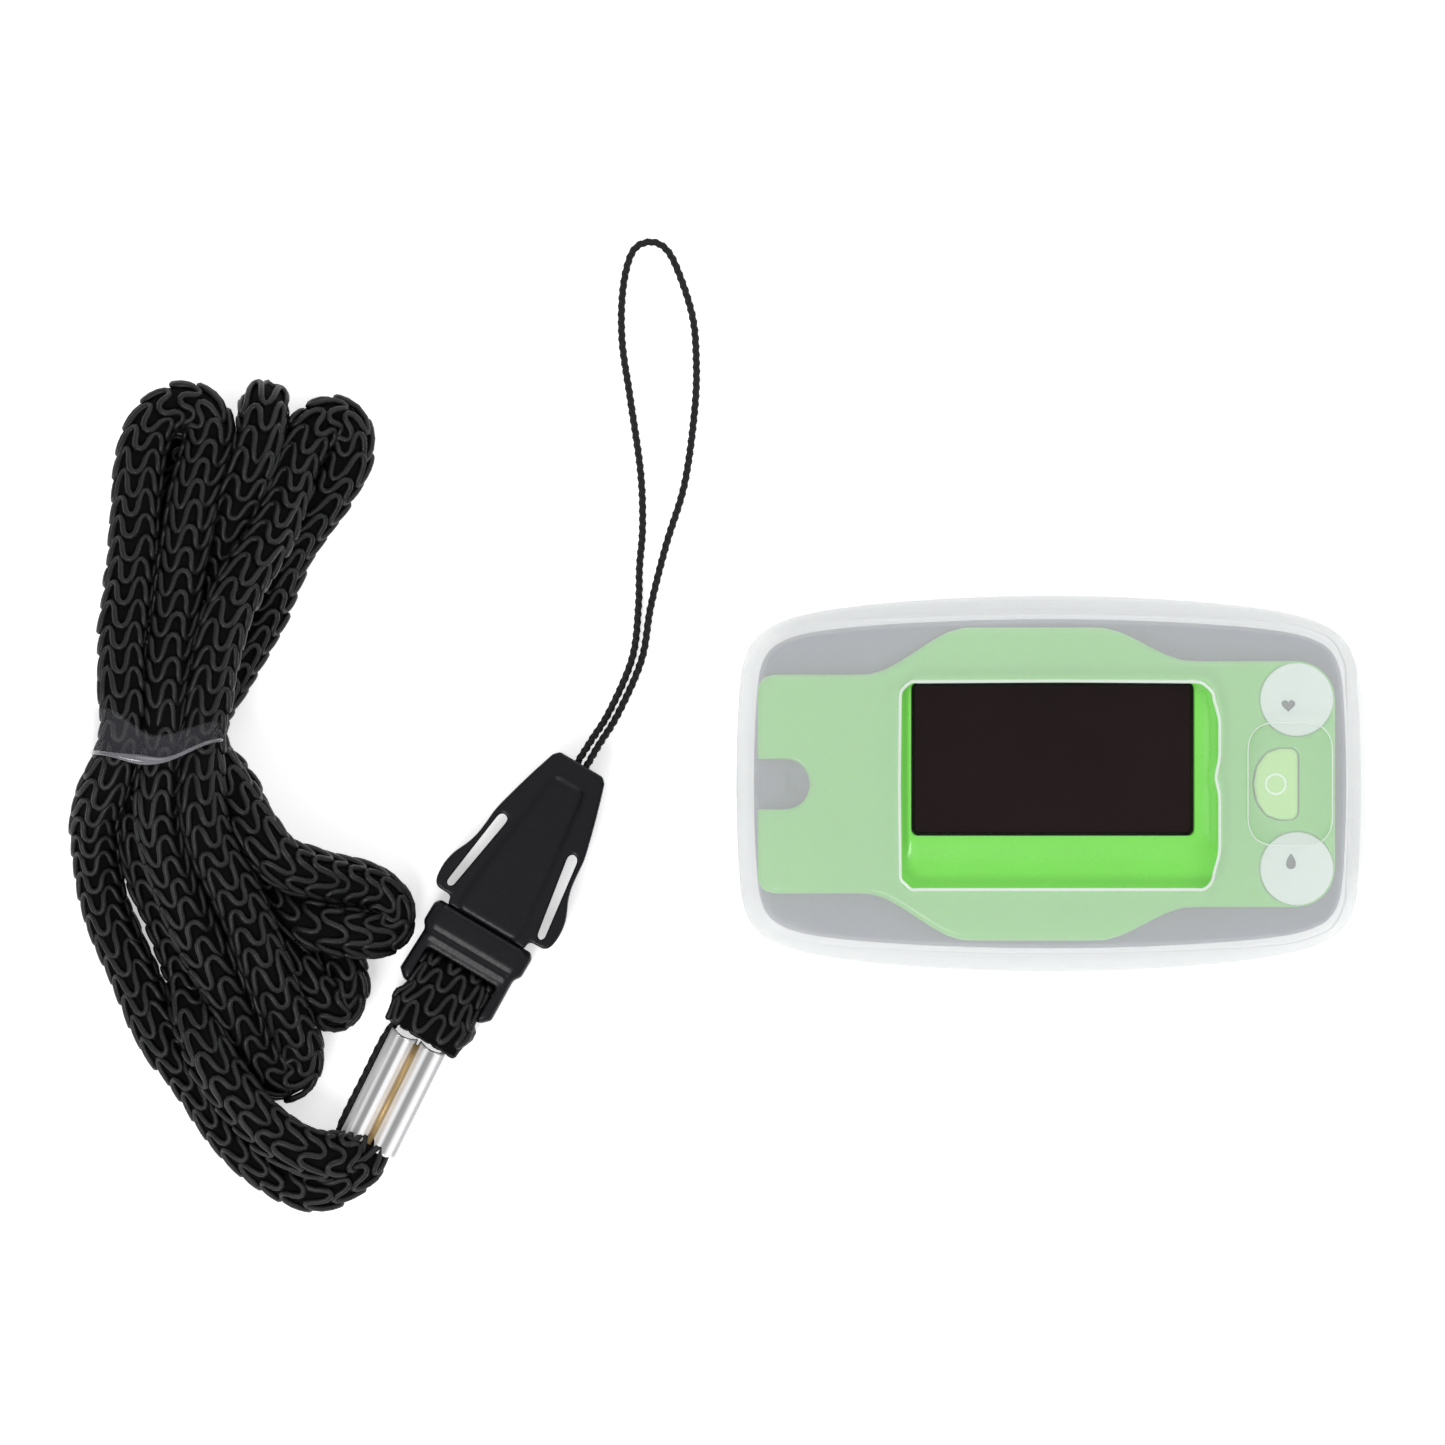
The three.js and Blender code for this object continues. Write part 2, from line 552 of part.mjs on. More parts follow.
function phoneLoop() {
  const route = [
    [-46.8, 0.1, 3], [-45.5, 2.2, 3], [-44.4, 4.1, 2.2], [-42.6, 7.0, 1], [-40.4, 12.2, 0.8],
    [-39.7, 17.2, 0.8], [-39.6, 21.0, 0.8], [-39.3, 25.0, 0.8], [-39.5, 30.3, 0.8], [-40.5, 37.4, 0.8],
    [-41.3, 43.1, 0.8], [-41.2, 48.1, 0.8], [-40.3, 51.6, 0.8], [-38.7, 52.6, 0.8], [-37.1, 52.0, 0.8],
    [-35.9, 49.9, 0.8], [-34.5, 45.6, 0.8], [-34.1, 41.7, 0.8], [-34.2, 36.7, 0.8], [-35.2, 29.2, 0.8],
    [-37.0, 23.2, 0.8], [-38.5, 17.2, 0.8], [-39.3, 12.0, 0.8], [-41.5, 6.6, 1], [-43.4, 3.6, 2.2],
    [-44.7, 1.7, 3], [-46.0, -0.4, 3],
  ];
  const curve = new THREE.CatmullRomCurve3(route.map(([x, y, z]) => new THREE.Vector3(x, y, z)));
  return solidOf(tube(curve, stringDiameter / 2, 62, 8));
}

// both strands of the neck cord side by side, from the ferrule to the hank
function cordLead() {
  const strandZ = lanyardFloor + cordDiameter / 2;
  const route = [[-66.3, -36.2], [-69.5, -37.7], [-73.4, -37.3], [-77.2, -35.2], [-80.2, -32.4]];
  const curve = new THREE.CatmullRomCurve3(route.map(([x, y]) => new THREE.Vector3(x, y, strandZ)));
  return solidOf(tube(curve, cordDiameter / 2, 8, 12, 1.7));
}

const hankTop = 14.6;
const tieY = 4.8;
const tieHalfBand = 2.1;
const tieBox = { x0: -93.3, x1: -79.5, wall: 0.8 };

function cordHank() {
  const edge = [
    [-85.6, -28.9], [-90.4, -20.5], [-94.4, -11.5], [-95.6, -4], [-94.2, 1.5], [-93.6, 6],
    [-92.9, 14], [-91.6, 29], [-89.4, 34.8], [-85, 37.4], [-80, 37.2], [-76, 38.4], [-73.2, 36.9],
    [-68.6, 36.2], [-66, 33.2], [-66.8, 30], [-71.6, 22], [-77, 11], [-79.2, 6], [-78.2, 2.4],
    [-74.6, -3.4], [-69, -6.2], [-64, -8.2], [-61.7, -12], [-64, -15.8], [-66.6, -18.4], [-68.8, -24.4],
    [-71.4, -29], [-75.4, -30.6], [-79, -29.6],
  ];
  const outline = new THREE.Shape().setFromPoints(
    new THREE.CatmullRomCurve3(edge.map(([x, y]) => new THREE.Vector3(x, y, 0)), true)
      .getPoints(60).slice(0, 60).map((p) => new THREE.Vector2(p.x, p.y)));
  const bundle = prism(outline, lanyardFloor, hankTop, 2, 2, 2);
  const { x0, x1, wall } = tieBox;
  const inner = wall + 0.3;
  const squeeze = cut(
    box(-far * 2, 0, tieY - tieHalfBand - 0.3, tieY + tieHalfBand + 0.3, -5, 30),
    box(x0 + inner, x1 - inner, 0, 10, lanyardFloor + inner, hankTop - inner));
  return cut(bundle, squeeze);
}

function hankTie() {
  const { x0, x1, wall } = tieBox;
  const ring = sidePrismRounded(x0, x1, lanyardFloor, hankTop, 3);
  const hole = sidePrismRounded(x0 + wall, x1 - wall, lanyardFloor + wall, hankTop - wall, 0.3);
  return cut(ring, hole);
}

function sidePrismRounded(x0, x1, z0, z1, radius) {
  const points = roundedRectangle(x0, x1, z0, z1, radius).getPoints(6).map((p) => [p.x, p.y]);
  const closed = Math.hypot(points[0][0] - points.at(-1)[0], points[0][1] - points.at(-1)[1]) < 1e-6;
  return sidePrism(closed ? points.slice(0, -1) : points, tieY - tieHalfBand, tieY + tieHalfBand);
}

// ---- materials and assembly ----
const finish = (color, roughness, metalness = 0, opacity = 1) => new THREE.MeshStandardMaterial({
  color, roughness, metalness, opacity, transparent: opacity < 1,
});
const silicone = finish(0xeceeec, 0.55, 0, 0.45);
const greenPlastic = finish(0x7bd855, 0.35);
const keyPlastic = finish(0xb9f28f, 0.4);
const greyPlastic = finish(0x4b4b55, 0.5);
const blackTray = finish(0x1c1c20, 0.6);
const padRubber = finish(0x2b2b30, 0.85);
const whitePlastic = finish(0xeef2ee, 0.4);
const darkGlass = finish(0x140b0c, 0.05);
const boardGreen = finish(0x14522f, 0.5);
const chipBlack = finish(0x101012, 0.45);
const steel = finish(0xb8bcc2, 0.28, 1);
const nickel = finish(0xc9c8c2, 0.3, 1);
const batteryJacket = finish(0x2f5fa8, 0.35, 0.2);
const amberFilm = finish(0xb9772a, 0.4);
const bucklePlastic = finish(0x1b1b1f, 0.4);
const blackYarn = finish(0x101012, 0.9);
const clearBand = finish(0xb9bcc4, 0.15, 0, 0.5);

const oximeter = new THREE.Group();
function place(name, solid, material) {
  const mesh = new THREE.Mesh(geometryOf(solid), material);
  mesh.name = name;
  oximeter.add(mesh);
}

place('cover_upper', coverUpper(), silicone);
place('top_panel', topPanel(), greenPlastic);
place('upper_shell', upperShell(), greyPlastic);
place('display_lens', displayLens(), darkGlass);
place('display_module', displayModule(), whitePlastic);
place('main_board', mainBoard(), boardGreen);
place('processor_chip', box(-3.5, 3.5, -3.5, 3.5, boardBottom - 1.15, boardBottom - 0.15), chipBlack);
place('signal_chip', box(-15.5, -11.5, 4, 9, boardBottom - 1.35, boardBottom - 0.15), chipBlack);
place('tact_switch', tactSwitch(), chipBlack);
place('badge_pulse', badge(1), whitePlastic);
place('badge_oxygen', badge(-1), whitePlastic);
place('upper_tray', upperTray(), blackTray);
place('upper_finger_pad', upperPad(), padRubber);
place('emitter_led', joined(
  box(9, 15, -2.6, 2.6, 25.1, 26.2), rodAlongZ(1.3, 23.6, 25.5, 12, 0)), whitePlastic);
boardScrewSpots.forEach(([x, y], k) => place(
  `board_screw_${k + 1}`, screw(x, y, boardBottom - 0.85, 4), steel));
trayScrewSpots.forEach(([x, y], k) => place(
  `tray_screw_${k + 1}`, screw(x, y, pinZ + 1.75, 6), steel));
place('power_button', powerButton(), keyPlastic);

place('cover_lower', coverLower(), silicone);
place('lower_shell', lowerShell(), greyPlastic);
place('lower_tray', lowerTray(), blackTray);
place('lower_finger_pad', lowerPad(), padRubber);
place('photodiode', joined(
  box(10, 14, -1.8, 1.8, 14.1, 14.9), box(11, 13, -1.2, 1.2, 14.5, 15.1)), chipBlack);
place('sensor_board', box(9.6, 14.4, -2.3, 2.3, 13.2, 13.9), boardGreen);
place('battery_left', battery(1), batteryJacket);
place('battery_right', battery(-1), batteryJacket);
place('rear_contact_spring', contactSpring(1), nickel);
place('front_contact_spring', contactSpring(-1), nickel);
place('rear_plate_left', contactPlate(-24.5, -24.1, 1.2, 9.6), nickel);
place('rear_plate_right', contactPlate(-23.6, -23.2, -9.6, -1.2), nickel);
place('front_link_plate', contactPlate(24.1, 24.5, -9.6, 9.6), nickel);
place('hinge_pin', rodAlongY(pinRadius, -11.9, 11.9, pinX, pinZ), steel);
place('hinge_spring_left', torsionSpring(1), steel);
place('hinge_spring_right', torsionSpring(-1), steel);
place('sensor_ribbon', sensorRibbon(), amberFilm);
place('battery_door', batteryDoor(), greyPlastic);

place('buckle_female', buckleFemale(), bucklePlastic);
place('buckle_male', buckleMale(), bucklePlastic);
place('cord_head', cordHead(), blackYarn);
place('ferrule', ferrule(), steel);
place('string_loop', phoneLoop(), blackYarn);
place('neck_cord_lead', cordLead(), blackYarn);
place('neck_cord_hank', cordHank(), blackYarn);
place('hank_tie', hankTie(), clearBand);

export default oximeter;
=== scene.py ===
import math

import bmesh
import bpy
import numpy as np
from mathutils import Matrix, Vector


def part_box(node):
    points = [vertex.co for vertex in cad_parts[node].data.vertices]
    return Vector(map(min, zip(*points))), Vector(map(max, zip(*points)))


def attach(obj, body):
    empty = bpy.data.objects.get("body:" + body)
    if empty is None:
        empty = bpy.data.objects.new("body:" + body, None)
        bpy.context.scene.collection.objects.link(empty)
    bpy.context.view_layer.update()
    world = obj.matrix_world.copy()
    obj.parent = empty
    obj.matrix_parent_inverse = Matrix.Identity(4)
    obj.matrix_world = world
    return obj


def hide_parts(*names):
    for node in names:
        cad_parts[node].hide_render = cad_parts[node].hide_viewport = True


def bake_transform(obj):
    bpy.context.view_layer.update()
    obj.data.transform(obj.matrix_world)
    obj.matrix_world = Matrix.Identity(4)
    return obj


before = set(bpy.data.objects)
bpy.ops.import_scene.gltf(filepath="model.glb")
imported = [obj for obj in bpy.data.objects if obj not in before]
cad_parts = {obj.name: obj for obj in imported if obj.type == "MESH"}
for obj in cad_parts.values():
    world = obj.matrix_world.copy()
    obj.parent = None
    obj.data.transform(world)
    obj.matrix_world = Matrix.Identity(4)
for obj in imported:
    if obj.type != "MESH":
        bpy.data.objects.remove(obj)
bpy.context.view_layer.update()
MM = 0.001

# ---- view, light and floor; in metres ----
VIEW_CENTRE = (-31.53 * MM, 5.9 * MM)
VIEW_WIDTH = 139.0 * MM
VIEW_PLANE = 25 * MM
LENS_MM = 600.0
SENSOR_MM = 36.0
LIGHT_AIM = Vector((-0.02, 0.0, 0.01))
LIGHTS = {  # place, size across and watts
    "key": ((-0.25, -0.35, 0.55), 0.30, 2.2),
    "fill": ((0.40, 0.10, 0.45), 0.40, 0.8),
    "rim": ((0.05, 0.45, 0.35), 0.30, 0.6),
}
WORLD_STRENGTH = 0.62
FLOOR_SIZE = 30
FLOOR_DROP = 0.1 * MM
FLOOR_WHITE = 0.93
FLOOR_GLOW = 0.5


def add_camera():
    data = bpy.data.cameras.new("photo_camera")
    data.lens = LENS_MM
    data.sensor_width = SENSOR_MM
    data.clip_end = 20
    camera = bpy.data.objects.new("photo_camera", data)
    height = VIEW_WIDTH * LENS_MM / SENSOR_MM
    camera.location = (*VIEW_CENTRE, VIEW_PLANE + height)
    bpy.context.scene.collection.objects.link(camera)
    bpy.context.scene.camera = camera


def area_light(name, place, size, watts):
    data = bpy.data.lights.new(name, "AREA")
    data.shape = "DISK"
    data.size = size
    data.energy = watts
    lamp = bpy.data.objects.new(name, data)
    lamp.location = place
    lamp.rotation_euler = (LIGHT_AIM - Vector(place)).to_track_quat("-Z", "Y").to_euler()
    bpy.context.scene.collection.objects.link(lamp)


def add_floor():
    bpy.ops.mesh.primitive_plane_add(size=FLOOR_SIZE, location=(0, 0, -FLOOR_DROP))
    floor = bpy.context.object
    floor.name = "studio_floor"
    paper = bpy.data.materials.new("paper")
    paper.use_nodes = True
    shader = paper.node_tree.nodes["Principled BSDF"]
    shader.inputs["Base Color"].default_value = (FLOOR_WHITE, FLOOR_WHITE, FLOOR_WHITE, 1)
    shader.inputs["Roughness"].default_value = 0.9
    shader.inputs["Emission Color"].default_value = (1, 1, 1, 1)
    shader.inputs["Emission Strength"].default_value = FLOOR_GLOW
    floor.data.materials.append(paper)


def add_studio():
    scene = bpy.context.scene
    scene.view_settings.view_transform = "Standard"
    world = bpy.data.worlds.new("studio")
    scene.world = world
    world.use_nodes = True
    background = world.node_tree.nodes["Background"]
    background.inputs["Color"].default_value = (1, 1, 1, 1)
    background.inputs["Strength"].default_value = WORLD_STRENGTH
    for name, (place, size, watts) in LIGHTS.items():
        area_light(name, place, size, watts)
    add_floor()


add_camera()
add_studio()

# ---- mesh helpers; they take millimetres ----
WELD = 0.002


def smooth_faces(mesh):
    mesh.polygons.foreach_set("use_smooth", [True] * len(mesh.polygons))


def show(piece):
    bpy.context.scene.collection.objects.link(piece)
    return piece


def mesh_object(name, vertices, faces):
    mesh = bpy.data.meshes.new(name)
    mesh.from_pydata((np.asarray(vertices, float) * MM).tolist(), [], faces)
    bm = bmesh.new()
    bm.from_mesh(mesh)
    bmesh.ops.recalc_face_normals(bm, faces=bm.faces)
    bm.to_mesh(mesh)
    bm.free()
    smooth_faces(mesh)
    return show(bpy.data.objects.new(name, mesh))


def apply_modifiers(piece):
    depsgraph = bpy.context.evaluated_depsgraph_get()
    mesh = bpy.data.meshes.new_from_object(piece.evaluated_get(depsgraph))
    piece.modifiers.clear()
    piece.data = mesh
    return piece


def combine(piece, tools, operation):
    for tool in tools:
        modifier = piece.modifiers.new("join", "BOOLEAN")
        modifier.operation = operation
        modifier.solver = "EXACT"
        modifier.object = tool
        apply_modifiers(piece)
        bpy.data.objects.remove(tool, do_unlink=True)
    return piece


def join(piece, *others):
    """Adds other meshes' faces as they are; a remesh afterwards fuses them."""
    bm = bmesh.new()
    bm.from_mesh(piece.data)
    for other in others:
        bm.from_mesh(other.data)
        bpy.data.objects.remove(other, do_unlink=True)
    bm.to_mesh(piece.data)
    bm.free()
    return piece


def carve(piece, *tools):
    return combine(piece, tools, "DIFFERENCE")


def add_to(piece, *tools):
    return combine(piece, tools, "UNION")


def rubberise(piece, voxel, smoothing):
    """Remeshes to even cells and relaxes them, so that every edge comes out soft."""
    remesh = piece.modifiers.new("cells", "REMESH")
    remesh.mode = "VOXEL"
    remesh.voxel_size = voxel * MM
    remesh.adaptivity = 0
    relax = piece.modifiers.new("relax", "SMOOTH")
    relax.factor = 0.5
    relax.iterations = smoothing
    apply_modifiers(piece)
    smooth_faces(piece.data)
    return piece


def vertices_of(piece):
    points = np.empty(len(piece.data.vertices) * 3)
    piece.data.vertices.foreach_get("co", points)
    return points.reshape(-1, 3) / MM


def move_vertices(piece, points):
    piece.data.vertices.foreach_set("co", (points * MM).ravel())
    piece.data.update()


def smooth_path(points, step, closed=False):
    """Catmull-Rom curve through the points, resampled at even steps."""
    p = np.array(points, float)
    if closed:
        p = np.vstack([p[-1], p, p[0], p[1]])
    else:
        p = np.vstack([2 * p[0] - p[1], p, 2 * p[-1] - p[-2]])
    dense = []
    t = np.linspace(0, 1, 24, endpoint=False)[:, None]
    for a, b, c, d in zip(p, p[1:], p[2:], p[3:]):
        dense.append(0.5 * (2 * b + (c - a) * t + (2 * a - 5 * b + 4 * c - d) * t**2
                            + (3 * b - a - 3 * c + d) * t**3))
    return even_steps(np.vstack(dense + [p[-2][None]]), step)


def even_steps(points, step):
    lengths = np.r_[0, np.cumsum(np.linalg.norm(np.diff(points, axis=0), axis=1))]
    count = max(2, round(lengths[-1] / step) + 1)
    where = np.linspace(0, lengths[-1], count)
    return np.stack([np.interp(where, lengths, column) for column in points.T], axis=1)


def path_length(points):
    return float(np.linalg.norm(np.diff(points, axis=0), axis=1).sum())


def path_frames(points):
    """Two side vectors at each point, carried along the path without twist."""
    tangents = np.gradient(points, axis=0)
    tangents /= np.linalg.norm(tangents, axis=1)[:, None]
    side = np.cross(tangents[0], (0.13, 0.2, 1.0))
    sides = []
    for tangent in tangents:
        side = side - tangent * side.dot(tangent)
        side /= np.linalg.norm(side)
        sides.append(side)
    sides = np.array(sides)
    return sides, np.cross(tangents, sides)


def tube(name, points, radius, sides_count=12, lobes=0, lobe_depth=0.0, twist=0.0):
    """A closed tube round the path, with one radius or one for each point. Lobes make a twisted strand."""
    u, v = path_frames(points)
    count = len(points)
    radius = np.broadcast_to(radius, count)[:, None]
    angles = 2 * math.pi * np.arange(sides_count)[None, :] / sides_count
    turn = (twist * np.arange(count) / count)[:, None]
    reach = radius * (1 - lobe_depth * (1 - np.abs(np.cos(lobes * angles / 2)))) * np.ones_like(turn)
    around = angles + turn
    rings = (points[:, None, :] + (reach * np.cos(around))[:, :, None] * u[:, None, :]
             + (reach * np.sin(around))[:, :, None] * v[:, None, :])
    return stack(name, rings)


def stack(name, rings):
    """A closed body through equal-length rings of points, with flat ends."""
    rings = np.asarray(rings, float)
    count, around = rings.shape[:2]
    k, j = np.meshgrid(np.arange(count - 1), np.arange(around), indexing="ij")
    a = (k * around + j).ravel()
    b = (k * around + (j + 1) % around).ravel()
    faces = [list(range(around))[::-1], list(range((count - 1) * around, count * around))]
    faces += np.stack([a, b, b + around, a + around], axis=1).tolist()
    return mesh_object(name, rings.reshape(-1, 3), faces)


def closed_ring(name, rings):
    """A body whose wall runs through all the rings and back to the first one."""
    rings = np.asarray(rings, float)
    count, around = rings.shape[:2]
    k, j = np.meshgrid(np.arange(count), np.arange(around), indexing="ij")
    here = k * around
    beyond = (k + 1) % count * around
    after = (j + 1) % around
    faces = np.stack([here + j, here + after, beyond + after, beyond + j], axis=-1).reshape(-1, 4).tolist()
    return mesh_object(name, rings.reshape(-1, 3), faces)


def prism(name, outline, z0, z1):
    outline = np.asarray(outline, float)
    level = np.ones((len(outline), 1))
    return stack(name, [np.hstack([outline, level * z0]), np.hstack([outline, level * z1])])


def block(name, x0, x1, y0, y1, z0, z1):
    return prism(name, [(x0, y0), (x1, y0), (x1, y1), (x0, y1)], z0, z1)


def round_corners(corners, radii, arc_points=10):
    """Outline through the corners, each rounded by its radius."""
    corners = np.array(corners, float)
    outline = []
    for k, corner in enumerate(corners):
        back = corners[k - 1] - corner
        ahead = corners[(k + 1) % len(corners)] - corner
        back_unit, ahead_unit = back / np.linalg.norm(back), ahead / np.linalg.norm(ahead)
        half = math.acos(np.clip(back_unit.dot(ahead_unit), -1, 1)) / 2
        radius = radii[k] if hasattr(radii, "__len__") else radii
        reach = radius / math.tan(half)
        start, end = corner + back_unit * reach, corner + ahead_unit * reach
        for t in np.linspace(0, 1, arc_points):
            outline.append((1 - t) ** 2 * start + 2 * t * (1 - t) * corner + t**2 * end)
    return np.array(outline)


def rectangle(x0, x1, y0, y1, radius):
    return round_corners([(x0, y0), (x1, y0), (x1, y1), (x0, y1)], radius)


def smoothstep(x, low, high):
    t = np.clip((x - low) / (high - low), 0, 1)
    return t * t * (3 - 2 * t)


# ---- materials ----


def material(name, color, roughness, metallic=0.0, mottle=0.12, mottle_scale=180.0,
             grain=0.08, grain_scale=2500.0, grain_depth=0.03, **sockets):
    """Principled surface with slight procedural variation of colour, roughness and fine relief."""
    made = bpy.data.materials.new(name)
    made.use_nodes = True
    nodes, links = made.node_tree.nodes, made.node_tree.links
    shader = nodes["Principled BSDF"]
    place = nodes.new("ShaderNodeTexCoord")
    cloud = nodes.new("ShaderNodeTexNoise")
    cloud.inputs["Scale"].default_value = mottle_scale
    cloud.inputs["Detail"].default_value = 3
    links.new(place.outputs["Object"], cloud.inputs["Vector"])
    blend = nodes.new("ShaderNodeMix")
    blend.data_type = "RGBA"
    blend.inputs["A"].default_value = (*[c * (1 - mottle) for c in color], 1)
    blend.inputs["B"].default_value = (*[min(1, c * (1 + mottle)) for c in color], 1)
    links.new(cloud.outputs["Fac"], blend.inputs["Factor"])
    links.new(blend.outputs["Result"], shader.inputs["Base Color"])
    speckle = nodes.new("ShaderNodeTexNoise")
    speckle.inputs["Scale"].default_value = grain_scale
    links.new(place.outputs["Object"], speckle.inputs["Vector"])
    shine = nodes.new("ShaderNodeMapRange")
    shine.inputs["To Min"].default_value = max(0, roughness - grain)
    shine.inputs["To Max"].default_value = min(1, roughness + grain)
    links.new(speckle.outputs["Fac"], shine.inputs["Value"])
    links.new(shine.outputs["Result"], shader.inputs["Roughness"])
    bump = nodes.new("ShaderNodeBump")
    bump.inputs["Strength"].default_value = 0.5
    bump.inputs["Distance"].default_value = grain_depth * MM
    links.new(speckle.outputs["Fac"], bump.inputs["Height"])
    links.new(bump.outputs["Normal"], shader.inputs["Normal"])
    shader.inputs["Metallic"].default_value = metallic
    for socket, value in sockets.items():
        shader.inputs[socket.replace("_", " ").title().replace("Ior", "IOR")].default_value = value
    return made


silicone = material("frosted_silicone", (0.70, 0.73, 0.72), 0.45, mottle=0.03, mottle_scale=60,
                    grain_depth=0.02, alpha=0.25)
cut_edge = material("silicone_cut_edge", (0.80, 0.86, 0.81), 0.4, mottle=0.04, alpha=0.60)
green_plastic = material("green_plastic", (0.165, 0.61, 0.075), 0.30, mottle=0.05, coat_weight=0.25)
key_plastic = material("key_plastic", (0.50, 0.87, 0.26), 0.35, mottle=0.03)
grey_plastic = material("grey_plastic", (0.165, 0.160, 0.225), 0.5, grain_depth=0.06)
black_plastic = material("black_plastic", (0.012, 0.012, 0.014), 0.55, grain_depth=0.05)
pad_rubber = material("pad_rubber", (0.016, 0.016, 0.018), 0.8, grain_depth=0.05)
white_plastic = material("white_plastic", (0.76, 0.86, 0.80), 0.4, mottle=0.03)
dark_glass = material("dark_glass", (0.010, 0.0045, 0.005), 0.10, mottle=0.45, mottle_scale=70,
                      grain=0.02, grain_depth=0.002, specular_ior_level=0.15)
board_green = material("solder_mask", (0.02, 0.16, 0.06), 0.4, mottle=0.2)
chip_black = material("chip_epoxy", (0.010, 0.010, 0.011), 0.5)
steel = material("drawn_steel", (0.68, 0.69, 0.70), 0.22, metallic=1.0, mottle=0.06, grain_scale=4000)
brass = material("brass", (0.42, 0.29, 0.13), 0.40, metallic=0.6, mottle=0.2)
nickel = material("nickel", (0.66, 0.64, 0.60), 0.28, metallic=1.0, mottle=0.06)
battery_sleeve = material("battery_sleeve", (0.03, 0.12, 0.40), 0.3, mottle=0.06, coat_weight=0.5)
amber_film = material("amber_film", (0.50, 0.20, 0.03), 0.3, mottle=0.1)
buckle_plastic = material("buckle_plastic", (0.005, 0.005, 0.007), 0.33, mottle=0.25, grain_depth=0.03,
                          specular_ior_level=0.22)
yarn_black = material("knit_yarn", (0.0065, 0.0065, 0.007), 0.45, mottle=0.35, mottle_scale=900,
                      grain=0.1, grain_scale=6000, grain_depth=0.06, specular_ior_level=0.32)
core_black = material("cord_core", (0.002, 0.002, 0.002), 0.95, mottle=0.3, grain_depth=0.05,
                      specular_ior_level=0.1)
string_black = material("string_yarn", (0.006, 0.006, 0.007), 0.6, mottle=0.3, grain_scale=6000,
                        specular_ior_level=0.3)
ink = material("grey_ink", (0.03, 0.05, 0.05), 0.6, mottle=0.1)
ring_white = material("ring_white", (0.72, 0.90, 0.66), 0.5, mottle=0.05)
band_film = material("band_film", (0.20, 0.20, 0.23), 0.12, mottle=0.5, mottle_scale=250, grain=0.03,
                     grain_scale=300, grain_depth=0.0, alpha=0.07, specular_ior_level=0.2)
# the band's rolled lower edge; its grey is partly the edge itself and partly a painted highlight for the
# glints along it
rolled_edge_painted_glint = material("rolled_edge_painted_glint", (0.17, 0.17, 0.19), 0.12, mottle=0.6, mottle_scale=250, grain=0.03,
                     grain_scale=300, grain_depth=0.0, alpha=0.7, coat_weight=0.6)


# painted reflections, long dark and bright streaks: place across the sheet and grey there; the two ends are
# set apart
SHEET_PAINTED_REFLECTIONS = ((0.05, 0.75), (0.13, 0.95), (0.22, 0.30), (0.26, 0.32), (0.31, 0.98), (0.42, 0.95),
                (0.50, 0.30), (0.58, 0.95), (0.67, 0.90), (0.74, 0.30), (0.79, 0.36), (0.86, 0.97))
SHEET_PAINTED_END_GREYS = ((0.30, 0.30, 0.31, 1), (0.35, 0.35, 0.36, 1))
SHEET_REFLECTION_BLUE = 1.01


def painted_reflection_sheet(name, foot, angle, half_width):
    """Bright rolled sheet with long grey reflections painted into its colour, laid across the line through
    foot at the angle.
    """
    made = material(name, (0.9, 0.9, 0.9), 0.22, metallic=0.35, grain_depth=0.0)
    nodes, links = made.node_tree.nodes, made.node_tree.links
    place = nodes.new("ShaderNodeTexCoord")
    turn = nodes.new("ShaderNodeMapping")
    turn.vector_type = "TEXTURE"
    turn.inputs["Location"].default_value = (foot[0] * MM, foot[1] * MM, 0)
    turn.inputs["Rotation"].default_value = (0, 0, angle)
    links.new(place.outputs["Object"], turn.inputs["Vector"])
    axes = nodes.new("ShaderNodeSeparateXYZ")
    links.new(turn.outputs["Vector"], axes.inputs["Vector"])
    across = nodes.new("ShaderNodeMapRange")
    across.inputs["From Min"].default_value = half_width * MM
    across.inputs["From Max"].default_value = -half_width * MM
    links.new(axes.outputs["Y"], across.inputs["Value"])
    # painted reflections: a grey ramp across the sheet stands for the streaks that the metal would mirror
    painted_reflection_ramp = nodes.new("ShaderNodeValToRGB")
    ramp = painted_reflection_ramp.color_ramp
    ramp.interpolation = "EASE"
    for position, grey in SHEET_PAINTED_REFLECTIONS:
        stop = ramp.elements.new(position)
        stop.color = (grey, grey, grey * SHEET_REFLECTION_BLUE, 1)
    ramp.elements[0].color = SHEET_PAINTED_END_GREYS[0]
    ramp.elements[-1].color = SHEET_PAINTED_END_GREYS[1]
    links.new(across.outputs["Result"], painted_reflection_ramp.inputs["Fac"])
    links.new(painted_reflection_ramp.outputs["Color"], nodes["Principled BSDF"].inputs["Base Color"])
    return made


def dress(piece, surface, slot, body, *nodes):
    """Gives the piece its material and body, and hides the CAD nodes that it stands for; slot is not used."""
    piece.data.materials.clear()
    piece.data.materials.append(surface)
    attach(piece, body)
    if nodes:
        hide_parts(*nodes)
    return piece


# ---- neck cord: a listed route in millimetres, then settled so that its turns don't cross ----
CORD = 5.2
CORD_LIFT = 0.1
TIE_Y = 4.8
# how closely turns may lie, in general and less in the tie; how near along the cord counts as its own turn
CORD_PACKING = 0.93
TIE_PACKING = 0.2
OWN_REACH = 1.6
# how strongly each round holds the cord to its route, pushes turns apart, evens its length and straightens it
HOLD = 0.08
TIE_HOLD = 0.25
HELD_ENDS = 4
PUSH = 0.55
STRETCH = 0.25
STIFFNESS = 0.2

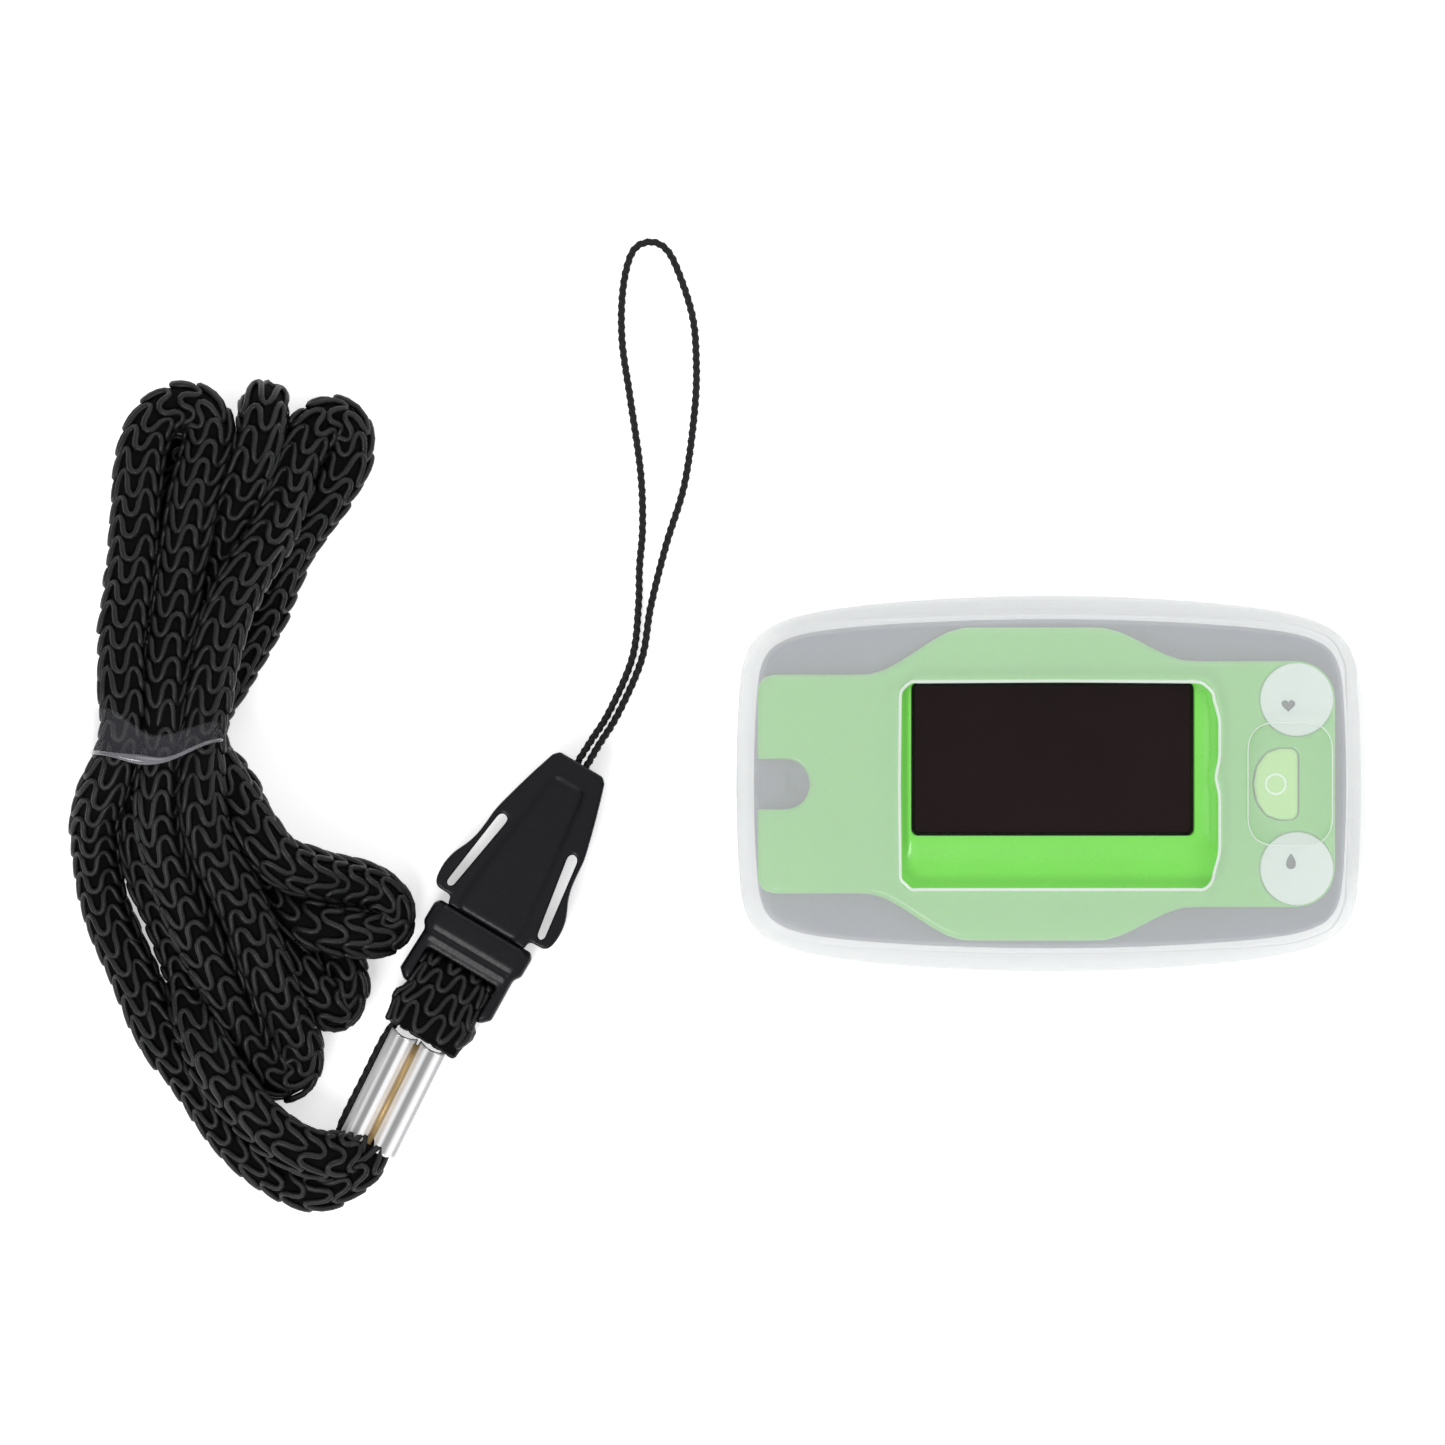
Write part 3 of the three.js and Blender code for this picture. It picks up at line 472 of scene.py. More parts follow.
NECK_ROUTE = [
    # out of the ferrule, the outer strand of the lead and up the left side
    (-64.9, -34.8, 3.0), (-65.6, -36.1, 3.0), (-66.8, -37.1, 2.9), (-68.3, -37.9, 2.8), (-70.9, -38.3, 2.7),
    (-73.9, -37.8, 2.7), (-77.3, -36.1, 2.7), (-79.5, -34.0, 2.7), (-80.9, -31.4, 2.7), (-82.1, -28.6, 2.7),
    (-84.2, -25.5, 2.7), (-86.0, -22.9, 2.7), (-87.8, -19.9, 2.7), (-90.1, -15.5, 2.7), (-92.0, -10.6, 2.9),
    (-91.6, -5.0, 4.6), (-90.4, 0.6, 8.6), (-89.5, 4.8, 10.9),
    # first top fold, left to right
    (-88.9, 9.5, 11.2), (-88.8, 16.0, 10.6), (-88.4, 25.2, 9.4), (-88.0, 32.4, 8.4), (-86.5, 35.9, 8.0),
    (-83.9, 37.2, 7.8), (-81.2, 36.2, 7.8), (-80.0, 33.3, 8.0), (-81.3, 27.7, 8.6), (-83.2, 21.4, 9.4),
    (-84.8, 14.2, 10.4), (-85.7, 8.8, 11.0), (-85.6, 4.8, 10.9),
    # down into the lowest fold and back up
    (-85.5, 0.4, 10.6), (-85.9, -4.2, 9.8), (-84.4, -9.8, 8.8), (-82.4, -15.0, 7.6), (-79.9, -20.4, 6.2),
    (-77.4, -25.2, 4.8), (-75.2, -29.0, 3.6), (-72.9, -29.0, 3.0), (-72.0, -26.4, 3.0), (-73.2, -22.4, 4.4),
    (-75.2, -18.0, 6.2), (-77.5, -13.0, 8.0), (-79.8, -8.2, 9.6), (-81.5, -3.2, 10.6), (-82.1, 1.0, 10.9),
    (-81.9, 4.8, 10.9),
    # third top fold, on the right
    (-81.6, 8.6, 11.0), (-80.9, 14.2, 10.4), (-78.8, 20.9, 9.0), (-75.4, 28.4, 6.6), (-72.2, 33.7, 4.4),
    (-69.6, 36.1, 3.2), (-67.6, 35.3, 2.7), (-67.3, 32.3, 2.7), (-69.2, 28.9, 2.8), (-73.5, 23.2, 2.8),
    (-77.0, 17.4, 2.8), (-79.5, 13.0, 3.6), (-81.5, 8.6, 5.6), (-82.3, 4.8, 7.2),
    # right-hand fold below the tie
    (-81.4, 2.0, 7.8), (-80.0, -0.6, 8.8), (-78.0, -4.2, 9.6), (-75.6, -7.6, 9.0), (-72.6, -9.6, 7.2),
    (-69.0, -9.8, 5.0), (-65.6, -10.2, 3.6), (-63.0, -12.2, 3.0), (-63.9, -15.0, 3.0), (-67.2, -15.4, 3.6),
    (-70.8, -14.8, 3.8), (-74.2, -11.6, 3.4), (-77.4, -6.8, 3.0), (-80.5, -1.2, 3.0), (-82.8, 4.8, 3.6),
    # second top fold, seen edge on: one strand over the other
    (-82.6, 9.6, 3.0), (-81.2, 16.0, 2.7), (-78.8, 23.5, 2.7), (-76.8, 31.2, 2.7), (-75.8, 36.3, 3.2),
    (-75.8, 37.6, 5.6), (-76.2, 36.1, 8.0), (-77.4, 30.9, 8.2), (-79.2, 23.5, 7.4), (-81.2, 16.4, 7.0),
    (-83.5, 10.0, 7.2), (-85.8, 4.8, 7.2),
    # middle fold below the tie
    (-84.4, 0.4, 6.8), (-81.4, -4.6, 5.2), (-78.4, -9.6, 5.0), (-74.8, -14.6, 5.4), (-72.4, -19.2, 5.0),
    (-71.0, -23.0, 3.6), (-69.2, -23.2, 2.7), (-68.6, -20.0, 2.7), (-70.6, -15.4, 2.7), (-74.8, -9.8, 2.7),
    (-79.2, -4.4, 2.7), (-83.8, 0.6, 3.0), (-87.0, 4.8, 3.6),
    # hidden top fold under the first one
    (-87.8, 10.0, 3.0), (-87.8, 17.0, 2.7), (-87.4, 24.6, 2.7), (-86.6, 30.9, 2.7), (-84.3, 33.5, 2.7),
    (-81.6, 31.8, 2.7), (-82.0, 27.0, 2.7), (-84.2, 20.0, 3.2), (-86.8, 13.2, 5.4), (-89.0, 8.4, 6.8),
    (-90.0, 4.8, 7.2),
    # the second strand from the left, down to the lead and into the ferrule
    (-89.2, 0.6, 6.6), (-88.8, -4.4, 5.6), (-86.7, -10.2, 4.2), (-84.1, -15.2, 3.4), (-82.3, -19.8, 4.0),
    (-81.6, -23.8, 5.8), (-79.6, -28.4, 6.4), (-77.0, -32.4, 6.4), (-74.0, -35.2, 6.2), (-71.0, -36.4, 5.6),
    (-68.8, -36.3, 4.4), (-67.5, -35.7, 3.4), (-66.9, -34.4, 3.0),
]


def settle(points, diameter, floor, rounds=160):
    """Pushes apart the places where the cord would pass through itself, keeping its length and its lay."""
    rest = points.copy()
    step = np.linalg.norm(np.diff(points, axis=0), axis=1).mean()
    apart = int(round(OWN_REACH * diameter / step))
    index = np.arange(len(points))
    far_along = np.abs(index[:, None] - index[None, :]) > apart
    in_tie = np.exp(-((rest[:, 1] - TIE_Y) / 4.5) ** 2)
    reach = diameter * (1 - TIE_PACKING * np.maximum(in_tie[:, None], in_tie[None, :]))
    hold = HOLD + TIE_HOLD * in_tie[:, None]
    hold[:HELD_ENDS] = 1
    hold[-HELD_ENDS:] = 1
    for _ in range(rounds):
        offsets = points[:, None, :] - points[None, :, :]
        gaps = np.linalg.norm(offsets, axis=2) + 1e-9
        overlap = np.where(far_along, np.maximum(reach - gaps, 0), 0)
        push = (offsets / gaps[:, :, None] * overlap[:, :, None]).sum(axis=1)
        weight = np.maximum((overlap > 0).sum(axis=1), 1)[:, None]
        points = points + PUSH * push / weight
        for _ in range(3):
            links = points[1:] - points[:-1]
            lengths = np.linalg.norm(links, axis=1)[:, None]
            fix = STRETCH * links * (1 - step / lengths)
            points[:-1] += fix
            points[1:] -= fix
        points[1:-1] += STIFFNESS * ((points[:-2] + points[2:]) / 2 - points[1:-1])
        points = points + hold * (rest - points)
        points[:, 2] = np.maximum(points[:, 2], floor)
    return points


def relaxed(points, rounds):
    """Takes out small kinks."""
    for _ in range(rounds):
        points[1:-1] += 0.5 * ((points[:-2] + points[2:]) / 2 - points[1:-1])
    return points


# ---- knitted yarn; courses run along the cord and wales round it ----
COURSE = 2.1
WALES = 5
YARN_RADIUS = 0.33
KNIT_RADIUS = 2.18
CORE_RADIUS = 2.06
END_TAPER = 3.0
POINTS_PER_WALE = 12
# a loop's reach along the cord in courses, its narrow waist in wales, and how its turns stand in or out
LOOP_REACH = 0.56
LOOP_WAIST = 0.05
LOOP_LIFT = 0.11
LOOP_CURL = 0.06
# random spread of each loop's reach, lean and standing out
UNEVENNESS = (0.10, 0.05, 0.07)
TIE_SQUEEZE = 0.12
HANK_SIDE = -75


def knitted(name, path, half_width=KNIT_RADIUS, half_depth=KNIT_RADIUS, wales=WALES, end_scale=0.55):
    """One yarn looped round the path. Each course is a zigzag whose lower turns stand out over the next."""
    length = path_length(path)
    turns = length / COURSE
    tau = np.linspace(0, turns * wales, int(turns * wales * POINTS_PER_WALE))
    wave = 2 * math.pi * tau
    u, v = path_frames(path)
    stitches = np.arange(int(turns * wales) + 2)
    rng = np.random.default_rng(11)
    draws = [rng.normal(0, spread, len(stitches)) for spread in UNEVENNESS]
    pull, lean, puff = (np.interp(tau, stitches, draw) for draw in draws)
    along = COURSE * tau / wales + (LOOP_REACH + pull) * COURSE * np.cos(wave)
    along = np.clip(along, 0, length)
    where = along / length * (len(path) - 1)
    low = np.minimum(where.astype(int), len(path) - 2)
    share = (where - low)[:, None]
    centre = path[low] * (1 - share) + path[low + 1] * share
    side = u[low] * (1 - share) + u[low + 1] * share
    other = v[low] * (1 - share) + v[low + 1] * share
    angle = (2 * math.pi / wales) * (tau + lean + LOOP_WAIST * np.sin(2 * wave))
    from_end = np.minimum(along, length - along)
    taper = end_scale + (1 - end_scale) * smoothstep(from_end, 0, END_TAPER)
    in_tie = np.exp(-((centre[:, 1] - TIE_Y) / 3.5) ** 2) * (centre[:, 0] < HANK_SIDE)
    squeeze = (1 - TIE_SQUEEZE * in_tie) * taper
    inset = LOOP_LIFT * np.cos(wave) + LOOP_CURL * np.cos(2 * wave) + puff
    if np.ndim(half_width):
        half_width = np.interp(where, np.arange(len(path)), half_width)
    yarn = (centre + ((half_width - inset) * squeeze * np.cos(angle))[:, None] * side
            + ((half_depth - inset) * squeeze * np.sin(angle))[:, None] * other)
    return tube(name, yarn, YARN_RADIUS, 6)


neck_path = smooth_path(NECK_ROUTE, 1.6)
neck_path = settle(neck_path, CORD * CORD_PACKING, CORD / 2 + CORD_LIFT)
neck_path = relaxed(smooth_path(neck_path, 0.4), 30)


def add_neck_cord():
    cord = knitted("neck_cord", neck_path)
    dress(cord, yarn_black, "yarn", "lanyard", "neck_cord_lead", "neck_cord_hank")
    core_path = neck_path[::3]
    index = np.arange(len(core_path))
    from_end = np.minimum(index, index[::-1]) * 1.2
    core = tube("neck_cord_core", core_path, CORE_RADIUS * (0.5 + 0.5 * smoothstep(from_end, 0, END_TAPER)))
    dress(core, core_black, "yarn", "lanyard")


add_neck_cord()

# ---- string loop ----
STRING_ROUTE = [
    (-46.8, 0.1, 3.0), (-45.5, 2.2, 3.0), (-44.3, 4.1, 2.2), (-42.5, 7.0, 1.0), (-40.3, 12.2, 0.8),
    (-39.7, 17.2, 0.8), (-39.6, 21.0, 0.8), (-39.3, 25.0, 0.8), (-39.5, 30.3, 0.8), (-40.5, 37.4, 0.8),
    (-41.3, 43.1, 0.8), (-41.2, 48.1, 0.8), (-40.3, 51.6, 0.8), (-38.7, 52.6, 0.8), (-37.1, 52.0, 0.8),
    (-35.9, 49.9, 0.8), (-34.5, 45.6, 0.8), (-34.1, 41.7, 0.8), (-34.2, 36.7, 0.8), (-35.2, 29.2, 0.8),
    (-37.0, 23.2, 0.8), (-38.5, 17.2, 0.8), (-39.4, 12.0, 0.8), (-41.7, 6.7, 1.0), (-43.6, 3.6, 2.2),
    (-44.7, 1.7, 3.0), (-46.0, -0.4, 3.0),
]
STRING = 0.8
STRING_LAY = 2.4


def add_string_loop():
    path = smooth_path(STRING_ROUTE, 0.3)
    string = tube("string_loop_yarn", path, STRING / 2, 12, lobes=3, lobe_depth=0.45,
                  twist=2 * math.pi * path_length(path) / STRING_LAY)
    dress(string, string_black, "yarn", "string_half", "string_loop")


add_string_loop()

# ---- copies of CAD shapes, refined ----


def add_weld(piece):
    piece.modifiers.new("weld", "WELD").merge_threshold = WELD * MM
    return piece


def copy_of(node, name):
    return apply_modifiers(add_weld(show(bpy.data.objects.new(name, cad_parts[node].data.copy()))))


def box_of(node):
    low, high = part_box(node)
    return np.array(low) / MM, np.array(high) / MM


# ---- shells and soft cover ----
# half length, half width, pull-in of the sides and squareness of each outline, as modelled and as drawn
SHELL_OUTLINE = (28.5, 16.2, 1.6, 8)
SHELL_DRAWN = (28.5, 15.85, 1.6, 11)
COVER_OUTLINE = (30.2, 18.1, 2.4, 6)
COVER_DRAWN = (30.2, 18.1, 2.4, 9)
END_BOW = 0.8
CAD_CHORDS = 56
COVER_TOP = box_of("cover_upper")[1][2]
WINDOW = (-14.5, 16.1, -10.1, 9.8)
WINDOW_BEAD = 0.17
KEY_ZONE = (18.8, 26.9, -5.9, 5.9)
KEY_ZONE_BEAD = 0.06
SHELL_CELL = 0.28
COVER_CELL = 0.30


def bowed_outline(half_length, half_width, side_bow, squareness, count):
    angles = 2 * math.pi * np.arange(count + 1) / count
    c, s = np.cos(angles), np.sin(angles)
    reach = (np.abs(c) ** squareness + np.abs(s) ** squareness) ** (-1 / squareness)
    along, across = reach * c, reach * s
    x = (half_length - END_BOW * across**2) * along
    y = (half_width - side_bow * along**2) * across
    return np.stack([x, y], axis=1)


def polar_reach(outline, directions):
    turn = np.unwrap(np.arctan2(outline[:, 1], outline[:, 0]))
    return np.interp(directions, turn, np.hypot(*outline.T), period=2 * math.pi)


def take_out_flats(piece, cad_outline, drawn_outline):
    """Moves the outer wall from the modelled outline's chords onto the drawn curve."""
    points = vertices_of(piece)
    chords = even_steps(bowed_outline(*cad_outline, CAD_CHORDS), 0.2)[:-1]
    curve = bowed_outline(*drawn_outline, 720)[:-1]
    directions = np.arctan2(points[:, 1], points[:, 0])
    cad_reach = polar_reach(chords, directions)
    share = np.hypot(points[:, 0], points[:, 1]) / cad_reach
    change = smoothstep(share, 0.78, 0.9) * (polar_reach(curve, directions) / cad_reach - 1)
    points[:, :2] *= 1 + change[:, None]
    move_vertices(piece, points)


def window_wave(y):
    """How far the window's right edge wanders inwards: a bump at its middle and drawn-in corners."""
    bump = 0.4 * np.exp(-((y - 0.7) ** 2))
    corners = 0.7 * smoothstep(np.abs(y + 0.2), 6, 9.3)
    return bump + corners


def bead(name, outline, radius):
    """The bright cut edge round an opening of the cover."""
    even = even_steps(np.vstack([outline, outline[:1]]), 0.7)
    closed = smooth_path(even[:-1], 0.25, closed=True)
    closed = np.vstack([closed, closed[1:3]])
    ring = tube(name, np.hstack([closed, np.full((len(closed), 1), COVER_TOP - 0.15)]), radius, 10)
    dress(ring, cut_edge, "silicone", "upper_half")


def add_cover():
    upper = copy_of("cover_upper", "soft_cover_upper")
    join(upper, block("eyelet_bridge", -30.1, -27.2, -2.2, 2.2, 27.4, 30.7))
    rubberise(upper, COVER_CELL, 5)
    take_out_flats(upper, COVER_OUTLINE, COVER_DRAWN)
    x0, x1, y0, y1 = WINDOW
    points = vertices_of(upper)
    x, y = points[:, 0], points[:, 1]
    beside_window = (y > y0 - 0.4) * (y < y1 + 0.4)
    near = (1 - smoothstep(np.abs(x - x1), 0.4, 1.6)) * beside_window
    points[:, 0] -= near * window_wave(y)
    move_vertices(upper, points)
    dress(upper, silicone, "silicone", "upper_half", "cover_upper")
    lower = rubberise(copy_of("cover_lower", "soft_cover_lower"), COVER_CELL, 5)
    take_out_flats(lower, COVER_OUTLINE, COVER_DRAWN)
    dress(lower, silicone, "silicone", "lower_half", "cover_lower")
    heights = np.linspace(y0 + 0.9, y1 - 0.9, 20)
    right_edge = np.stack([x1 - window_wave(heights), heights], axis=1)
    other_edges = [(x1 - 1.8, y1), (1, y1 + 0.1), (x0 + 0.9, y1), (x0, y1 - 1), (x0 - 0.1, 0),
                   (x0, y0 + 1), (x0 + 1, y0), (x1 - 1.3, y0)]
    bead("window_edge", np.vstack([right_edge, other_edges]), WINDOW_BEAD)
    bead("key_zone_edge", rectangle(*KEY_ZONE, 2.8), KEY_ZONE_BEAD)


def add_shells():
    upper = copy_of("upper_shell", "upper_shell_moulding")
    join(upper, block("eyelet_roof", -27.5, -23.1, -1.7, 1.7, 30.2, 31.3))
    rubberise(upper, SHELL_CELL, 3)
    take_out_flats(upper, SHELL_OUTLINE, SHELL_DRAWN)
    dress(upper, grey_plastic, "grey_plastic", "upper_half", "upper_shell")
    lower = rubberise(copy_of("lower_shell", "lower_shell_moulding"), SHELL_CELL, 3)
    take_out_flats(lower, SHELL_OUTLINE, SHELL_DRAWN)
    dress(lower, grey_plastic, "grey_plastic", "lower_half", "lower_shell")


add_shells()
add_cover()

# ---- green panel, lens, key and badges ----
LENS = (-13.2, 13.4, -4.7, 9.5)
BEZEL_RISE = 0.5
PANEL_STRETCH = 0.35
PANEL_END_DROP = 0.4
KEY_CENTRE = (21.5, 0.0)
KEY_FLANGE_SCALE = 0.93
KEY_TOP_SPREAD = 0.115
KEY_RING = 0.95
KEY_RING_POINTS = 49
BADGE_MARKS = {  # badge node and the middle of its mark
    "pulse_mark": ("badge_pulse", (22.7, 7.55)),
    "oxygen_mark": ("badge_oxygen", (22.95, -7.4)),
}


def inside_distance(x, y, box):
    """Distance from a point to a rectangle, 0 inside it."""
    dx = np.maximum(np.maximum(box[0] - x, x - box[1]), 0)
    dy = np.maximum(np.maximum(box[2] - y, y - box[3]), 0)
    return np.hypot(dx, dy)


def add_panel():
    panel = rubberise(copy_of("top_panel", "green_top_panel"), 0.25, 2)
    points = vertices_of(panel)
    x, y, z = points.T.copy()
    near_lens = 1 - smoothstep(inside_distance(x, y, LENS), 0.2, 3.2)
    edge = np.minimum.reduce([x - WINDOW[0], WINDOW[1] - x, y - WINDOW[2], WINDOW[3] - y])
    rise = BEZEL_RISE * near_lens * smoothstep(edge, 0.2, 0.9)
    points[:, 2] += np.where(z > z.max() - 0.3, rise, 0)
    points[:, 0] -= PANEL_STRETCH * smoothstep(-x, 25.0, 27.2)
    points[:, 2] -= PANEL_END_DROP * smoothstep(-x, 26.0, 27.4)
    move_vertices(panel, points)
    dress(panel, green_plastic, "green_plastic", "upper_half", "top_panel")


def add_key():
    cap = rubberise(copy_of("power_button", "power_key_cap"), 0.12, 6)
    points = vertices_of(cap)
    middle = (points.min(axis=0) + points.max(axis=0)) / 2
    cap_top = points[:, 2].max()
    spread = KEY_FLANGE_SCALE + KEY_TOP_SPREAD * smoothstep(points[:, 2], cap_top - 1.0, cap_top - 0.6)
    points[:, :2] = middle[:2] + spread[:, None] * (points[:, :2] - middle[:2])
    move_vertices(cap, points)
    dress(cap, key_plastic, "key_plastic", "key", "power_button")
    top = box_of("power_button")[1][2]
    angles = np.linspace(0, 2 * math.pi, KEY_RING_POINTS)
    circle = KEY_CENTRE + KEY_RING * np.stack([np.cos(angles), np.sin(angles)], axis=1)
    ring_path = np.hstack([circle, np.full((KEY_RING_POINTS, 1), top)])
    ring = tube("power_key_ring", ring_path, 0.17, 10)
    dress(ring, ring_white, "key_plastic", "key")


def heart(size):
    t = np.linspace(0, 2 * math.pi, 40, endpoint=False)
    x = 16 * np.sin(t) ** 3
    y = 13 * np.cos(t) - 5 * np.cos(2 * t) - 2 * np.cos(3 * t) - np.cos(4 * t)
    return np.stack([x, y], axis=1) * size / 32


def drop(size):
    t = np.linspace(0, 2 * math.pi, 40, endpoint=False)
    return np.stack([0.8 * np.sin(t) * np.sin(t / 2), np.cos(t)], axis=1) * size / 2


def add_badge_marks():
    outlines = {"pulse_mark": heart(1.3), "oxygen_mark": drop(1.5)}
    for name, (node, centre) in BADGE_MARKS.items():
        top = box_of(node)[1][2]
        mark = prism(name, outlines[name] + np.array(centre), top - 0.05, top + 0.04)
        dress(mark, ink, "white_plastic", "upper_half")


add_panel()
add_key()
add_badge_marks()

# ---- buckle ----
BUCKLE_FOOT = np.array([-58.6, -20.8])
BUCKLE_ANGLE = math.radians(59.4)
BUCKLE_MID = 3.0
BUCKLE_CELL = 0.2
BAR_RIB = 4.7
RELEASE_HALF_RISE = 2.2
SLIT_ENDS = ((9.95, 5.12), (17.85, 3.95))
SLIT_RADII = (0.38, 0.52)
SOCKET_RISE = 0.75
CORD_HEAD_HALF_WIDTH = 4.25
CORD_HEAD_NARROWING = 0.65


def along_buckle(points):
    """Turns points drawn with the buckle's length along +X onto its axis."""
    points = np.asarray(points, float)
    c, s = math.cos(BUCKLE_ANGLE), math.sin(BUCKLE_ANGLE)
    x = BUCKLE_FOOT[0] + points[:, 0] * c - points[:, 1] * s
    y = BUCKLE_FOOT[1] + points[:, 0] * s + points[:, 1] * c
    return np.stack([x, y, points[:, 2]] if points.shape[1] == 3 else [x, y], axis=1)


def buckle_pad(name, outline, z0, z1):
    return prism(name, along_buckle(outline), z0, z1)


def capsule(start, end, start_radius, end_radius):
    """Outline of a slot with round ends, wider at one end."""
    start, end = np.array(start, float), np.array(end, float)
    heading = math.atan2(*(end - start)[::-1])
    arc = heading + np.linspace(math.pi / 2, 1.5 * math.pi, 12)
    round_end = np.stack([np.cos(arc), np.sin(arc)], axis=1)
    return np.vstack([start + start_radius * round_end, end - end_radius * round_end])


# One side of the release half, from the heel out to the hook, along the sprung arm and up to the head
ARM = [(8.95, 5.9), (9.35, 6.4), (10.3, 6.62), (11.6, 6.6), (12.8, 6.3), (14.0, 5.75), (15.2, 5.35),
       (16.6, 5.15), (18.4, 4.98), (20.2, 4.55), (22.4, 3.95), (24.4, 3.35), (25.8, 2.9)]


def add_frame_half():
    frame_half = copy_of("buckle_female", "buckle_frame_half")
    rib = tube("rib", along_buckle([(BAR_RIB, -4.4, 5.25), (BAR_RIB, 4.4, 5.25)]), 0.5, 16)
    pad = buckle_pad("pad", round_corners([(5.5, -4.6), (7.9, -4.6), (7.9, 4.6), (5.5, 4.6)], 0.4), 5, 5.75)
    join(frame_half, rib, pad)
    rubberise(frame_half, BUCKLE_CELL, 5)
    dress(frame_half, buckle_plastic, "buckle_plastic", "lanyard", "buckle_female")


def add_release_half():
    low, high = BUCKLE_MID - RELEASE_HALF_RISE, BUCKLE_MID + RELEASE_HALF_RISE
    side = [(8.0, 4.3), (8.95, 4.45), *(tuple(p) for p in smooth_path(ARM, 0.4)), (26.3, 2.4)]
    outline = np.array(side + [(t, -s) for t, s in reversed(side)])
    release_half = buckle_pad("buckle_release_half", outline, low, high)
    spine = [(8.3, -3.3), (12.6, -3.0), (24.0, -1.6), (24.0, 1.6), (12.6, 3.0), (8.3, 3.3)]
    add_to(release_half, buckle_pad("spine", round_corners(spine, 0.6, 4), 4.8, 5.5))
    slit = capsule(*SLIT_ENDS, *SLIT_RADII)
    carve(release_half, buckle_pad("slit", slit, 0, 10), buckle_pad("slit", slit * (1, -1), 0, 10))
    socket = [(23.2, -1.3), (30, -1.3), (30, 1.3), (23.2, 1.3)]
    carve(release_half, buckle_pad("socket", socket, BUCKLE_MID - SOCKET_RISE, BUCKLE_MID + SOCKET_RISE))
    tongue = [(5.4, -1.9), (8.4, -1.9), (8.4, 1.9), (5.4, 1.9)]
    add_to(release_half, buckle_pad("tongue", tongue, BUCKLE_MID - 1, BUCKLE_MID + 1))
    rubberise(release_half, BUCKLE_CELL, 6)
    dress(release_half, buckle_plastic, "buckle_plastic", "string_half", "buckle_male")


def add_cord_head():
    """The knit goes up through the frame's window, over its bar and back to the ferrule."""
    bar_at, bend = 1.8, 1.45
    run = np.linspace(-4.4, bar_at, 9)
    top_run = [(t, 0, BUCKLE_MID + bend) for t in run]
    turn = [(bar_at + bend * math.sin(a), 0, BUCKLE_MID + bend * math.cos(a))
            for a in np.linspace(0.3, math.pi - 0.3, 7)]
    under_run = [(t, 0, BUCKLE_MID - bend) for t in run[::-1]]
    path = smooth_path(along_buckle(top_run + turn + under_run), 0.4)
    from_foot = path[:, :2] - BUCKLE_FOOT
    along = from_foot[:, 0] * math.cos(BUCKLE_ANGLE) + from_foot[:, 1] * math.sin(BUCKLE_ANGLE)
    widths = CORD_HEAD_HALF_WIDTH - CORD_HEAD_NARROWING * smoothstep(along, -1.8, -0.8)
    knit = knitted("cord_head_knit", path, half_width=widths, half_depth=0.8, wales=9, end_scale=0.85)
    dress(knit, yarn_black, "yarn", "lanyard", "cord_head")
    u, v = path_frames(path)
    angles = 2 * math.pi * np.arange(24)[:, None] / 24
    flat = [centre + (width - 0.4) * np.cos(angles) * across + 0.6 * np.sin(angles) * other
            for centre, across, other, width in zip(path[::3], u[::3], v[::3], widths[::3])]
    core = stack("cord_head_core", flat)
    dress(core, core_black, "yarn", "lanyard")


# ---- ferrule: sheet rolled round both strands, two fluted barrels with the seam between them ----
FERRULE_TOP = np.array([-61.05, -25.1])
FERRULE_BOTTOM = np.array([-66.1, -35.25])
FERRULE_RUN = FERRULE_TOP - FERRULE_BOTTOM
FERRULE_LENGTH = np.linalg.norm(FERRULE_RUN)
FERRULE_Z = 3.0
BARRELS = {"ferrule_left": 1.5, "ferrule_right": -1.5}
BARREL_RADIUS = 1.42
BARREL_HEIGHT = 1.1
FLUTES = 8
FLUTE_DEPTH = 0.05
RIM_BOW = 0.2
# how far in from each end, and the share of the full size there
RIM = ((0.35, 0.80), (0.0, 0.90), (0.05, 0.98), (0.3, 1.0))


def ferrule_point(along, across, z):
    axis = FERRULE_RUN / FERRULE_LENGTH
    x, y = FERRULE_BOTTOM + along * axis + across * np.array([-axis[1], axis[0]])
    return x, y, z


def barrel(name, middle):
    turn = 2 * math.pi * np.arange(72) / 72
    bow = RIM_BOW * np.cos(2 * (turn - math.pi / 2))
    reach = BARREL_RADIUS * (1 - FLUTE_DEPTH * np.cos(FLUTES * turn))
    sections = list(RIM) + [(FERRULE_LENGTH - inset, scale) for inset, scale in reversed(RIM)]
    rings = []
    for along, scale in sections:
        rings.append([ferrule_point(along - lag, middle + scale * r * math.cos(a),
                                    FERRULE_Z + BARREL_HEIGHT * scale * r * math.sin(a))
                      for r, a, lag in zip(reach, turn, bow)])
    return stack(name, rings)


